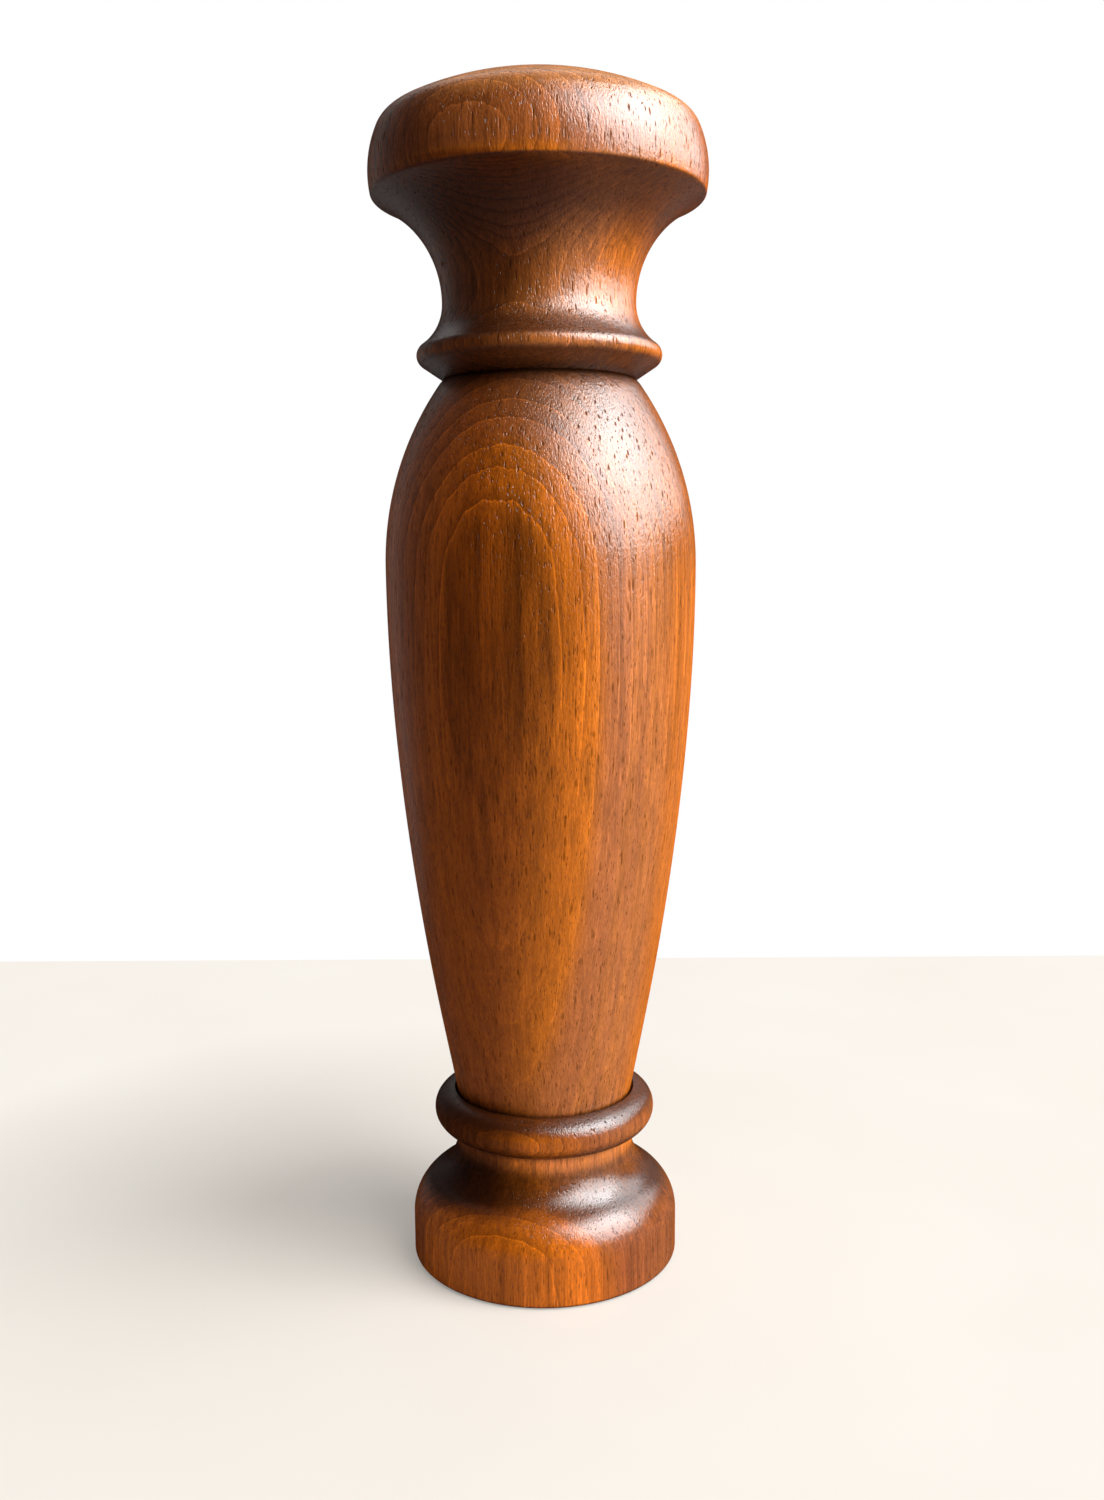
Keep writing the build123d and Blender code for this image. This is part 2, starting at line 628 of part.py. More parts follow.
# Drive insert: a moulded socket in the head with a flange under the tenon
with BuildPart() as drive_insert:
    with BuildSketch(Plane.XY.offset(insert_bottom)):
        Circle(insert_flange_radius)
    extrude(amount=INSERT_FLANGE)
    with BuildSketch(Plane.XY.offset(tenon_bottom)):
        Circle(INSERT_RADIUS)
    extrude(amount=INSERT_LENGTH)
    with BuildSketch(Plane.XY.offset(insert_bottom)):
        square_face(square_hole, hole_corner)
    extrude(amount=insert_top - INSERT_ROOF - insert_bottom, mode=Mode.SUBTRACT)
    with Locations((0, 0, insert_bottom)):
        Cone(
            hole_corner + LEAD_IN,
            hole_corner,
            LEAD_IN,
            align=(Align.CENTER, Align.CENTER, Align.MIN),
            mode=Mode.SUBTRACT,
        )
    with Locations((0, 0, grip_height)):
        Cylinder(
            hole_corner + 2 * GRIP_WIRE + SEAT_FIT,
            2 * GRIP_WIRE + 2 * SEAT_FIT,
            mode=Mode.SUBTRACT,
        )
    with Locations(Plane((0, 0, insert_bottom), z_dir=(0, 0, -1))):
        with PolarLocations(insert_screw_circle, INSERT_SCREW_COUNT):
            CounterSinkHole(
                INSERT_SCREW_RADIUS + SEAT_FIT,
                INSERT_SCREW_RADIUS + INSERT_SCREW_HEAD + SEAT_FIT,
                depth=INSERT_FLANGE,
                counter_sink_angle=90,
            )
drive_insert.part.label = "drive_insert"

with BuildPart() as insert_screws:
    countersunk_screws(
        insert_screw_circle,
        INSERT_SCREW_COUNT,
        insert_bottom,
        INSERT_SCREW_HEAD,
        INSERT_SCREW_RADIUS,
        INSERT_SCREW_LENGTH,
    )
insert_screws.part.label = "insert_screws"

# Rubber ring in the insert that grips the shaft, so that the head stays on when the mill is tipped
with BuildPart() as grip_ring:
    with Locations((0, 0, grip_height)):
        Torus(hole_corner + GRIP_WIRE, GRIP_WIRE)
grip_ring.part.label = "grip_ring"

os.makedirs("parts", exist_ok=True)
for piece in (
    mill_body,
    mill_head,
    grinder_housing,
    shaft_bush,
    outer_burr,
    retaining_plate,
    housing_screws,
    drive_shaft,
    thrust_washer,
    upper_clip,
    lower_clip,
    spring_washer,
    burr_spring,
    end_clip,
    inner_burr,
    burr_carrier,
    adjusting_knob,
    drive_insert,
    insert_screws,
    grip_ring,
):
    export_step(piece.part, f"parts/{piece.part.label}.step")
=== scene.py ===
from math import cos, radians, sin

import bpy
import numpy as np
from mathutils import Matrix


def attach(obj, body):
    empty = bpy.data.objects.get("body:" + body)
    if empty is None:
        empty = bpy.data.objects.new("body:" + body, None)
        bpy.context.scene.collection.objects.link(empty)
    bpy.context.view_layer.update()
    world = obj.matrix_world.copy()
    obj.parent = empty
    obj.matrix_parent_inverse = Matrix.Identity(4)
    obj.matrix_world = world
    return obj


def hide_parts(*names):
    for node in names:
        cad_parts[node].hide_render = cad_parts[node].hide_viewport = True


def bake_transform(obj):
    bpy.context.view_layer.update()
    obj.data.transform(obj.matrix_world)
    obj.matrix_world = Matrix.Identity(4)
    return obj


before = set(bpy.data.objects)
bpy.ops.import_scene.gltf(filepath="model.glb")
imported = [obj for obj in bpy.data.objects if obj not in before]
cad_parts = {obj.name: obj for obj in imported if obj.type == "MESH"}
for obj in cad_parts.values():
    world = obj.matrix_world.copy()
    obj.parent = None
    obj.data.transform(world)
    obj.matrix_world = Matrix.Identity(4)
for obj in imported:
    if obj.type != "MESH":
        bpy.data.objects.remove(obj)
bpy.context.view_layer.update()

# BODY. One piece of straight-grained hardwood, turned between centres: barrel, ring, neck and foot.
# It is bored through for the pepper, recessed below for the grinder, sanded along the grain and oiled.
# Sizes are in millimetres, heights are from the table up, and turns are in degrees.
FOOT_RADIUS, FOOT_WALL, FOOT_EDGE = 30.8, 9.8, 1.2
OGEE_ROUND, OGEE_TURN = 10.412, 59.96
NECK_RADIUS, NECK_FOOT, NECK_TOP = 20.4, 27.83, 30.43
RING_CENTRE, RING_ROUND, RING_START = (20.9, 35.0), 4.6, -96.2
CREASE = (20.1, 38.7)
BARREL_STATIONS = ((38.7, 20.1, 0.1934), (63.0, 24.8, 0.1836), (97.0, 30.1, 0.1281), (160.0, 34.4, 0.0))
SHOULDER_ROUND, SHOULDER_TURN = 67.62, 36.27
SEAT_RADIUS, SEAT_HEIGHT, SEAT_EASE = 21.3, 200.0, 0.7
BORE_RADIUS, BORE_CHAMFER = 13.5, 0.8
RECESS_RADIUS, RECESS_DEPTH, RECESS_CHAMFER = 20.3, 15.0, 0.4


def line(start, stop, step=1.0):
    """Points (r, z) on a straight line: start + t (stop - start), t from 0 to 1, about one per step."""
    start, stop = np.array(start), np.array(stop)
    count = max(2, int(np.hypot(*(stop - start)) / step) + 1)
    return start + np.linspace(0, 1, count)[:, None] * (stop - start)


def arc(centre, radius, first, last, step=0.5):
    """Points (r, z) on a circle: centre + radius (cos a, sin a), with a from first to last in degrees."""
    count = max(6, int(abs(radians(last - first)) * radius / step) + 1)
    a = np.radians(np.linspace(first, last, count))
    return np.column_stack((centre[0] + radius * np.cos(a), centre[1] + radius * np.sin(a)))


def fair(stations, step=1.5):
    """Points (r, z) on a fair curve through stations (height, radius, slope): between two of them the
    radius is the cubic in height that has both radii and both slopes."""
    z, r, m = np.array(stations).T
    at = np.arange(z[0], z[-1], step)
    i = np.clip(np.searchsorted(z, at, side="right") - 1, 0, len(z) - 2)
    h = z[i + 1] - z[i]
    t = (at - z[i]) / h
    radius = r[i] * (1 + 2 * t) * (1 - t) ** 2 + r[i + 1] * t * t * (3 - 2 * t)
    radius += h * t * (1 - t) * (m[i] * (1 - t) - m[i + 1] * t)
    return np.column_stack((radius, at))


def eased(before, after, reach, count=6):
    """Two runs of points that meet in a corner, joined by a small round: both are cut back by reach, and
    (1 - t)^2 p + 2 t (1 - t) corner + t^2 q, with t from 0 to 1, runs from one cut p to the other q."""
    corner = before[-1]
    before = before[np.hypot(*(before - corner).T) > reach]
    after = after[np.hypot(*(after - corner).T) > reach]
    t = np.linspace(0, 1, count + 2)[1:-1, None]
    curve = (1 - t) ** 2 * before[-1] + 2 * t * (1 - t) * corner + t * t * after[0]
    return np.vstack((before, curve, after))


def make(name, points, faces, sharp=38):
    """An object at the origin, made from points in mm. It is smooth, with an edge wherever two faces meet
    at more than sharp degrees."""
    mesh = bpy.data.meshes.new(name)
    mesh.from_pydata((points / 1000).tolist(), [], faces)
    mesh.polygons.foreach_set("use_smooth", np.ones(len(faces), dtype=bool))
    mesh.set_sharp_from_angle(angle=radians(sharp))
    piece = bpy.data.objects.new(name, mesh)
    bpy.context.collection.objects.link(piece)
    return piece


def turned(name, profile, dark, fresh, turns=300, same=1e-6):
    """A profile of (r, z) spun round the z axis: x = r cos a, y = r sin a, z = z, with a over a full turn.
    A profile that ends on the axis closes there in a pole, and any other closes on its own first point.
    Two attributes go with the points. dust_and_shade is what dark gives for the profile, the share of
    painted shade and dust. end_grain is |dr| / |(dr, dz)|, how far the surface faces along the axis, times
    what fresh gives, the share of the end grain that shows."""
    profile = np.asarray(profile)
    keep = np.hypot(*np.diff(profile, axis=0).T) > same
    profile = profile[np.r_[True, keep]]
    poles = profile[profile[:, 0] < same]
    rows = profile[profile[:, 0] >= same]
    a = np.linspace(0, 2 * np.pi, turns, endpoint=False)
    grid = np.stack((rows[:, :1] * np.cos(a), rows[:, :1] * np.sin(a), rows[:, 1:] + 0 * a), axis=-1)
    points = np.vstack((grid.reshape(-1, 3), np.column_stack((poles[:, 0], poles[:, 0], poles[:, 1]))))
    j, k, n = np.arange(turns), (np.arange(turns) + 1) % turns, len(rows)
    i = np.arange(n - 1 if len(poles) else n)[:, None]
    up = (i + 1) % n
    quads = np.stack((i * turns + j, i * turns + k, up * turns + k, up * turns + j), axis=-1)
    faces = quads.reshape(-1, 4).tolist()
    if len(poles):
        first, last = n * turns, n * turns + 1
        faces += np.column_stack((first + 0 * j, k, j)).tolist()
        faces += np.column_stack(((n - 1) * turns + j, (n - 1) * turns + k, last + 0 * j)).tolist()
    piece = make(name, points, faces)
    run = np.gradient(rows, axis=0)
    end_grain = np.abs(run[:, 0]) / np.hypot(*run.T) * fresh(rows)
    for word, share in (("dust_and_shade", dark(rows)), ("end_grain", end_grain)):
        beside = share[[0, -1]][:len(poles)]
        mark = piece.data.attributes.new(word, "FLOAT", "POINT")
        mark.data.foreach_set("value", np.r_[np.repeat(share, turns), beside].astype(np.float32))
    return piece


foot = np.vstack((
    line((RECESS_RADIUS, RECESS_CHAMFER), (RECESS_RADIUS + RECESS_CHAMFER, 0), 0.2),
    line((RECESS_RADIUS + RECESS_CHAMFER, 0), (FOOT_RADIUS - FOOT_EDGE, 0)),
    arc((FOOT_RADIUS - FOOT_EDGE, FOOT_EDGE), FOOT_EDGE, -90, 0, 0.25),
    line((FOOT_RADIUS, FOOT_EDGE), (FOOT_RADIUS, FOOT_WALL)),
    arc((FOOT_RADIUS - OGEE_ROUND, FOOT_WALL), OGEE_ROUND, 0, OGEE_TURN),
    arc((NECK_RADIUS + OGEE_ROUND, NECK_FOOT), OGEE_ROUND, 180 + OGEE_TURN, 180),
    line((NECK_RADIUS, NECK_FOOT), (NECK_RADIUS, NECK_TOP), 0.5)))
ring = np.vstack((
    arc(RING_CENTRE, RING_ROUND, RING_START, 90, 0.4),
    line((RING_CENTRE[0], RING_CENTRE[1] + RING_ROUND), CREASE, 0.3)))
barrel = fair(BARREL_STATIONS)
belly_height, belly_radius = BARREL_STATIONS[-1][:2]
shoulder = arc((belly_radius - SHOULDER_ROUND, belly_height), SHOULDER_ROUND, 0, SHOULDER_TURN, 1.2)
seat = line((SEAT_RADIUS, SEAT_HEIGHT), (BORE_RADIUS + BORE_CHAMFER, SEAT_HEIGHT), 0.3)
bore = np.vstack((
    line((BORE_RADIUS + BORE_CHAMFER, SEAT_HEIGHT), (BORE_RADIUS, SEAT_HEIGHT - BORE_CHAMFER), 0.4),
    line((BORE_RADIUS, SEAT_HEIGHT - BORE_CHAMFER), (BORE_RADIUS, RECESS_DEPTH), 5),
    line((BORE_RADIUS, RECESS_DEPTH), (RECESS_RADIUS, RECESS_DEPTH), 1),
    line((RECESS_RADIUS, RECESS_DEPTH), (RECESS_RADIUS, RECESS_CHAMFER), 2)[:-1]))
body_profile = np.vstack((foot, ring, barrel, eased(shoulder, seat, SEAT_EASE), bore))

# Painted shade darkens the crease over the ring, the neck's corner and the seat under the head, each given
# by its place, the share there and its size. Inside the bore it is evenly darker. The foot was sanded
# finest, so less of its end grain shows.
SEAT_EDGE = (SEAT_RADIUS, SEAT_HEIGHT)
BODY_SHADE = ((CREASE, 1.0, 1.1), ((NECK_RADIUS, NECK_TOP), 0.6, 1.0), (SEAT_EDGE, 0.8, 2.6))
BORE_DARK, DARK_MARGIN, OGEE_ENDS = 0.35, 0.5, 0.55


def body_dust_and_shade(rows):
    """Share of painted shade at (r, z): the most of share exp(-(d / size)^2), with d the distance from each
    shaded corner, and of one even darkening inside the bore and the recess."""
    corners = [share * np.exp(-(np.hypot(*(rows - place).T) / size) ** 2)
               for place, share, size in BODY_SHADE]
    in_bore = (rows[:, 0] < BORE_RADIUS + DARK_MARGIN) | (rows[:, 1] <= RECESS_DEPTH)
    inside = BORE_DARK * (in_bore & (rows[:, 0] <= RECESS_RADIUS))
    return np.max((*corners, inside), axis=0)


def body_ends(rows):
    """Share of the end grain that shows at (r, z): less on the foot's wall and ogee than elsewhere."""
    on_ogee = (rows[:, 0] > NECK_RADIUS) & (rows[:, 1] > FOOT_EDGE) & (rows[:, 1] < NECK_TOP)
    return np.where(on_ogee, OGEE_ENDS, 1.0)


body_wood = turned("body_turned", body_profile, body_dust_and_shade, body_ends)

# Hardwood, turned, sanded and oiled. The tree's rings are wide arcs that the lathe cuts at a slant, so they
# show as nested arches on the barrel and as ovals on the head. Each ring is pale where it starts and darker
# where it ends, thin dark pores run along the grain, and the oil leaves a soft satin gleam.
RING_TURN, RING_RADIUS, RING_LEAN, LEAN_HEIGHT = -15.22, 571.9, (0.0587, -0.3383), 120.0
CROWN_BEND, CROWN_SHIFT, FOOT_SAG = -0.19, -1.5, 0.11
# Ring edges and tones lie at depths in the tree, in mm out from the mill's axis.
DEPTH_REACH = 40.0
RING_EDGES = (39.4, 36.4, 33.2, 30.3, 28.45, 26.75, 23.95, 21.8, 18.9, 17.0, 14.7, 12.4, 10.2)
INNER_RINGS, INNER_STEP, INNER_UNEVEN, INNER_SWING = 18, 2.7, 0.75, 2.4
WOOD_TONES = (
    (-40.0, "#a8540e"), (-22.0, "#b25b0f"), (-8.0, "#a8540d"), (0.0, "#b35f13"), (9.0, "#af5e16"),
    (11.4, "#a45b21"), (14.5, "#9d5a29"), (17.0, "#a45e27"), (18.9, "#9d5a2c"), (21.2, "#a45e28"),
    (22.6, "#9e5a2d"), (25.2, "#a25b29"), (27.0, "#b8620e"), (28.4, "#b25d0c"), (29.5, "#b65f0c"),
    (31.2, "#a0520b"), (33.0, "#9c4e0a"), (34.0, "#b2590c"), (40.0, "#af570c"))
FOOT_TONES = (
    (-40.0, "#80420f"), (14.0, "#844519"), (21.0, "#7b4019"), (27.0, "#894519"), (29.4, "#914a10"),
    (31.4, "#bd600e"), (33.0, "#c4640e"), (36.0, "#b65d0d"), (40.0, "#bb600e"))
# The side and heart tones, used on the left side, are partly painted shade.
# The worn dome's pale tone is partly painted sheen.
WORN_RIM, WORN_DOME_AND_SHEEN, SIDE_TONE_AND_SHADE, HEART_AND_SHADE_TONE = "#884c2a", "#cb8850", "#9a490b", "#3c1806"
SIDE_BORDER, SIDE_SHARE = (-3.0, -14.0), 0.85
END_GRAIN, PORE, SHADE_AND_DUST_TONE = "#33160a", "#2b1509", "#1f0f07"


def linear(colour):
    """An sRGB hex colour as linear red, green, blue and a full alpha: c / 12.92 below 0.04045, and
    ((c + 0.055) / 1.055)^2.4 above it."""
    c = np.array([int(colour[i:i + 2], 16) for i in (1, 3, 5)]) / 255
    return (*np.where(c <= 0.04045, c / 12.92, ((c + 0.055) / 1.055) ** 2.4).tolist(), 1.0)


def add(tree, kind, links, **settings):
    """Adds a shader node, gives it its settings, fills its sockets from outputs or values, and returns its
    first output."""
    node = tree.nodes.new("ShaderNode" + kind)
    for key, value in settings.items():
        setattr(node, key, value)
    for socket, source in links.items():
        if isinstance(source, bpy.types.NodeSocket):
            tree.links.new(source, node.inputs[socket])
        else:
            node.inputs[socket].default_value = source
    return next((output for output in node.outputs if output.enabled), None)


def bare_material(name, **values):
    """A material of one principled shader with its constant values, and its Object coordinates in mm."""
    made = bpy.data.materials.new(name)
    made.use_nodes = True
    shader = made.node_tree.nodes["Principled BSDF"]
    for socket, value in values.items():
        shader.inputs[socket.replace("_", " ")].default_value = value
    place = add(made.node_tree, "TexCoord", {}).node.outputs["Object"]
    mm = add(made.node_tree, "VectorMath", {0: place, 1: (1000, 1000, 1000)}, operation="MULTIPLY")
    return made, made.node_tree, shader, mm


def paint(tree, shader, colour, roughness, height, depth):
    """Links a colour, a roughness and a relief of the given depth in mm to the shader."""
    tree.links.new(colour, shader.inputs["Base Color"])
    tree.links.new(roughness, shader.inputs["Roughness"])
    bump = add(tree, "Bump", {"Height": height, "Distance": depth / 1000, "Strength": 1.0})
    tree.links.new(bump, shader.inputs["Normal"])
    if shader.inputs["Coat Weight"].default_value:
        tree.links.new(bump, shader.inputs["Coat Normal"])


def on_ramp(q):
    """The place of a depth of q mm on a ramp that runs from -DEPTH_REACH to DEPTH_REACH."""
    return (q + DEPTH_REACH) / (2 * DEPTH_REACH)


# The gloss is all in the coat, which is the film of oil.
oiled_wood, tree, shader, mm = bare_material("hardwood_turned_and_oiled", IOR=1.5, Specular_IOR_Level=0.0,
                                             Coat_Weight=1.0, Coat_Roughness=0.23, Coat_IOR=1.55)

# The grain wanders. Each noise has a width and a length and shifts the wood by up to so much, all in mm.
wander = mm
for width, length, shift in ((50, 150, 0.7), (8, 90, 0.3), (2.2, 60, 0.2), (0.9, 9, 0.1)):
    spot = add(tree, "VectorMath", {0: mm, 1: (1 / width, 1 / width, 1 / length)}, operation="MULTIPLY")
    drift = add(tree, "TexNoise", {"Vector": spot, "Scale": 1.0, "Detail": 1.0}).node.outputs["Color"]
    drift = add(tree, "VectorMath", {0: drift, 1: (0.5, 0.5, 0.5)}, operation="SUBTRACT")
    drift = add(tree, "VectorMath", {0: drift, 1: (2 * shift, 2 * shift, 0)}, operation="MULTIPLY")
    wander = add(tree, "VectorMath", {0: wander, 1: drift}, operation="ADD")

# Places on the mill: a height, a place across, a distance from a height, and a height that counts more
# towards both sides, so that a band at one such height sags there.
apart = add(tree, "SeparateXYZ", {0: mm}).node.outputs
across, height = apart["X"], apart["Z"]
outwards = add(tree, "Math", {0: across}, operation="ABSOLUTE")
sagging = add(tree, "Math", {0: outwards, 1: FOOT_SAG, 2: height}, operation="MULTIPLY_ADD")
away = {}
for name, middle in (("ogee", 25.0), ("neck", NECK_FOOT), ("ring", RING_CENTRE[1]), ("low_barrel", 75.0),
                     ("shoulder", 182.0), ("bead", 205.0)):
    away[name] = add(tree, "Math", {0: height, 1: middle}, operation="SUBTRACT")
    away[name] = add(tree, "Math", {0: away[name]}, operation="ABSOLUTE")

# Zones of the wood: each runs from one value to another between two places, in mm.
zone = {}
for name, place, start, stop, first, last in (
        # How the rings lie: bent to one side in the crown, and a little nearer the pith at the bead.
        ("crown_bend", height, 237.6, 238.4, 0.0, 1.0), ("bead_dip", away["bead"], 6.0, 3.0, 0.0, -0.9),
        # Where the foot's tones show: over the foot, and round the ring, most on its top, where they are
        # partly dark wood and partly painted shade.
        ("root", height, 26.0, 20.0, 0.0, 1.0), ("ring", away["ring"], 5.5, 3.0, 0.0, 0.8),
        ("ring_top", height, 32.5, 35.5, 0.45, 1.0),
        # Where the crown is worn paler, most on its dome, where the paler tone is also painted sheen.
        ("worn_and_sheen", height, 238.5, 241.0, 0.0, 0.65), ("dome", height, 249.0, 254.0, 0.0, 1.0),
        # Where the left side shows its dark heart, which is partly painted shade: from ogee to ring, and
        # from bead to rim. Its border slants up the cove and steps at the rim, and on the foot the whole
        # side shows less.
        ("over_foot", sagging, 18.0, 21.0, 0.0, 1.0), ("under_barrel", height, 43.0, 38.0, 0.0, 1.0),
        ("over_bead", height, 199.0, 206.0, 0.0, 0.85), ("under_rim", height, 239.0, 236.0, 0.75, 1.0),
        ("slant", height, 209.0, 234.0, -2.0, -16.0), ("rim_step", height, 237.0, 240.0, 0.0, 27.0),
        ("foot_side", sagging, 18.0, 21.0, 0.4, 1.0),
        # Where the rings show as thin dark lines: in the cove, most on one side.
        ("cove_foot", height, 221.0, 230.0, 0.0, 1.0), ("cove_top", height, 240.0, 237.0, 0.0, 1.0),
        ("cove_side", across, 14.0, -4.0, 0.3, 1.0),
        # How strongly the rings show: most on the shoulder, less on the foot's wall, and least on the lower
        # barrel and the ogee.
        ("upper", height, 110.0, 150.0, 0.3, 1.0), ("lower", height, 46.0, 40.0, 0.25, 1.0),
        ("ogee", away["ogee"], 5.0, 8.0, 0.25, 1.0), ("arches", away["shoulder"], 20.0, 12.0, 1.0, 1.4),
        ("wall", height, 16.0, 12.0, 1.0, 0.55),
        # How strongly fibres and streaks show: less on the lower barrel.
        ("calm", away["low_barrel"], 40.0, 25.0, 1.0, 0.72),
        # Where the wood is lighter or darker: dark patches high on the barrel but not on the head, a neck
        # brightened with painted light, a dark band over the ogee, and a slightly darker right side of the
        # shoulder.
        ("aloft", height, 70.0, 140.0, 0.0, 1.0), ("head", height, 196.0, 204.0, 0.0, 1.0),
        ("neck", away["neck"], 2.6, 1.0, 1.0, 1.75), ("band_foot", sagging, 18.5, 21.0, 1.0, 0.48),
        ("band_top", height, 26.2, 28.2, 0.48, 1.0), ("shoulder", height, 154.0, 170.0, 0.0, 1.0),
        ("right", across, 6.0, 20.0, 0.0, 1.0), ("under_seat", height, 200.0, 186.0, 0.0, 0.24),
        # Where oil has filled the pores, on the foot and ring, and where hands have rubbed it off the dome.
        ("filled", height, 24.0, 44.0, 0.45, 1.0), ("rubbed", height, 257.0, 259.0, 1.0, 0.12)):
    ends = {"From Min": start, "From Max": stop, "To Min": first, "To Max": last}
    zone[name] = add(tree, "MapRange", {"Value": place, **ends})

# Depth in the tree: the distance from the leaning pith line, less the ring radius at the mill's axis, with
# the bend in the crown and the dip at the bead.
turn = radians(RING_TURN)
radius = []
for towards, lean, start in (((sin(turn), -cos(turn)), RING_LEAN[0], RING_RADIUS),
                             ((cos(turn), sin(turn)), RING_LEAN[1], 0.0)):
    run = add(tree, "VectorMath", {0: wander, 1: (*towards, -lean)}, operation="DOT_PRODUCT")
    radius.append(add(tree, "Math", {0: run, 1: start + LEAN_HEIGHT * lean}, operation="ADD"))
radius = add(tree, "CombineXYZ", {"X": radius[0], "Y": radius[1]})
radius = add(tree, "VectorMath", {0: radius}, operation="LENGTH")
bend = add(tree, "Math", {0: across, 1: CROWN_BEND, 2: CROWN_SHIFT}, operation="MULTIPLY_ADD")
radius = add(tree, "Math", {0: bend, 1: zone["crown_bend"], 2: radius}, operation="MULTIPLY_ADD")
radius = add(tree, "Math", {0: radius, 1: zone["bead_dip"]}, operation="ADD")
ends = {"From Min": RING_RADIUS - DEPTH_REACH, "From Max": RING_RADIUS + DEPTH_REACH}
depth = add(tree, "MapRange", {"Value": radius, **ends})

# The tone at that depth, from the barrel's set or the foot's; the foot's darker set on the ring's top is
# partly painted shade. Over it lie the worn crown's tone, paler on the dome with painted sheen, and, on the
# left, the evener tone of that side of the tree and its dark heart, both partly painted shade.
tones = []
for table in (WOOD_TONES, FOOT_TONES):
    tones.append(add(tree, "ValToRGB", {"Fac": depth}))
    stops = tones[-1].node.color_ramp.elements
    for q, colour in table[1:-1]:
        stops.new(on_ramp(q))
    for stop, (q, colour) in zip(stops, table):
        stop.position, stop.color = on_ramp(q), linear(colour)
# On the ring's top the foot's darker tones are partly painted shade.
on_ring = add(tree, "Math", {0: zone["ring"], 1: zone["ring_top"]}, operation="MULTIPLY")
root = add(tree, "Math", {0: zone["root"], 1: on_ring}, operation="MAXIMUM")
toned = add(tree, "MixRGB", {"Fac": root, "Color1": tones[0], "Color2": tones[1]})
worn_and_sheen = add(tree, "MixRGB", {"Fac": zone["dome"], "Color1": linear(WORN_RIM), "Color2": linear(WORN_DOME_AND_SHEEN)})
toned = add(tree, "MixRGB", {"Fac": zone["worn_and_sheen"], "Color1": toned, "Color2": worn_and_sheen})
low_heart_and_shade = add(tree, "Math", {0: zone["over_foot"], 1: zone["under_barrel"]}, operation="MULTIPLY")
heart_and_shade = add(tree, "Math", {0: zone["over_bead"], 1: zone["under_rim"]}, operation="MULTIPLY")
heart_and_shade = add(tree, "Math", {0: low_heart_and_shade, 1: heart_and_shade}, operation="MAXIMUM")
left = add(tree, "MixRGB", {"Fac": heart_and_shade, "Color1": linear(SIDE_TONE_AND_SHADE), "Color2": linear(HEART_AND_SHADE_TONE)})
border = add(tree, "Math", {0: across, 1: zone["slant"]}, operation="ADD")
border = add(tree, "Math", {0: border, 1: zone["rim_step"]}, operation="ADD")
ends = {"From Min": SIDE_BORDER[0], "From Max": SIDE_BORDER[1], "To Max": SIDE_SHARE}
side = add(tree, "MapRange", {"Value": border, **ends})
side = add(tree, "Math", {0: side, 1: zone["foot_side"]}, operation="MULTIPLY")
toned = add(tree, "MixRGB", {"Fac": side, "Color1": toned, "Color2": left})

# Ring count at each depth: a curve of straight runs that gains one at each ring's edge. Further in, the
# rings are as wide as one step, give or take, because some years the tree grew more than in others.
count = add(tree, "FloatCurve", {"Value": depth})
year = np.arange(1, INNER_RINGS + 1)
inner = RING_EDGES[-1] - INNER_STEP * year - INNER_UNEVEN * np.sin(INNER_SWING * year)
edges = [*RING_EDGES, *inner.tolist()]
total = len(edges) - 1
edges = [(on_ramp(q), (total - i) / total) for i, q in enumerate(edges)][::-1]
points = count.node.mapping.curves[0].points
for edge in edges[1:-1]:
    points.new(*edge)
for point, edge in zip(points, edges):
    point.location, point.handle_type = edge, "VECTOR"
count.node.mapping.update()
count = add(tree, "Math", {0: count, 1: float(total)}, operation="MULTIPLY")

# Across a ring: a thin pale line where it starts and a darker band where it ends. In the cove, which cuts
# the rings at a slant, each ring shows two thin dark lines instead.
RING_SHADE = ((0.0, 0.95), (0.035, 0.62), (0.1, 0.56), (0.5, 0.52), (0.8, 0.46), (0.93, 0.40),
              (0.975, 0.45), (1.0, 0.95))
COVE_SHADE = ((0.0, 0.30), (0.1, 0.56), (0.6, 0.52), (0.8, 0.40), (0.93, 0.20), (1.0, 0.32))
shades = []
for lines, table in ((1.0, RING_SHADE), (2.0, COVE_SHADE)):
    within = add(tree, "Math", {0: count, 1: lines}, operation="MULTIPLY")
    within = add(tree, "Math", {0: within}, operation="FRACT")
    shades.append(add(tree, "ValToRGB", {"Fac": within}))
    stops = shades[-1].node.color_ramp.elements
    for at, level in table[1:-1]:
        stops.new(at)
    for stop, (at, level) in zip(stops, table):
        stop.position, stop.color = at, (level, level, level, 1)
in_cove = add(tree, "Math", {0: zone["cove_foot"], 1: zone["cove_top"]}, operation="MULTIPLY")
in_cove = add(tree, "Math", {0: in_cove, 1: zone["cove_side"]}, operation="MULTIPLY")
shade = add(tree, "MixRGB", {"Fac": in_cove, "Color1": shades[0], "Color2": shades[1]})

# Fibres, streaks, clouds, curl and patches along the grain, each a noise drawn out along the trunk, by its
# width and length in mm.
streaks = []
for width, length, detail, rough in ((0.3, 6, 3.0, 0.6), (1.2, 55, 3.0, 0.6), (7, 60, 2.0, 0.6),
                                     (0.45, 0.9, 2.0, 0.6), (3.2, 45, 2.0, 0.5)):
    spot = add(tree, "VectorMath", {0: wander, 1: (1 / width, 1 / width, 1 / length)}, operation="MULTIPLY")
    noise = {"Vector": spot, "Scale": 1.0, "Detail": detail, "Roughness": rough}
    streaks.append(add(tree, "TexNoise", noise))
fibre, streak, cloud, curl, patch = streaks

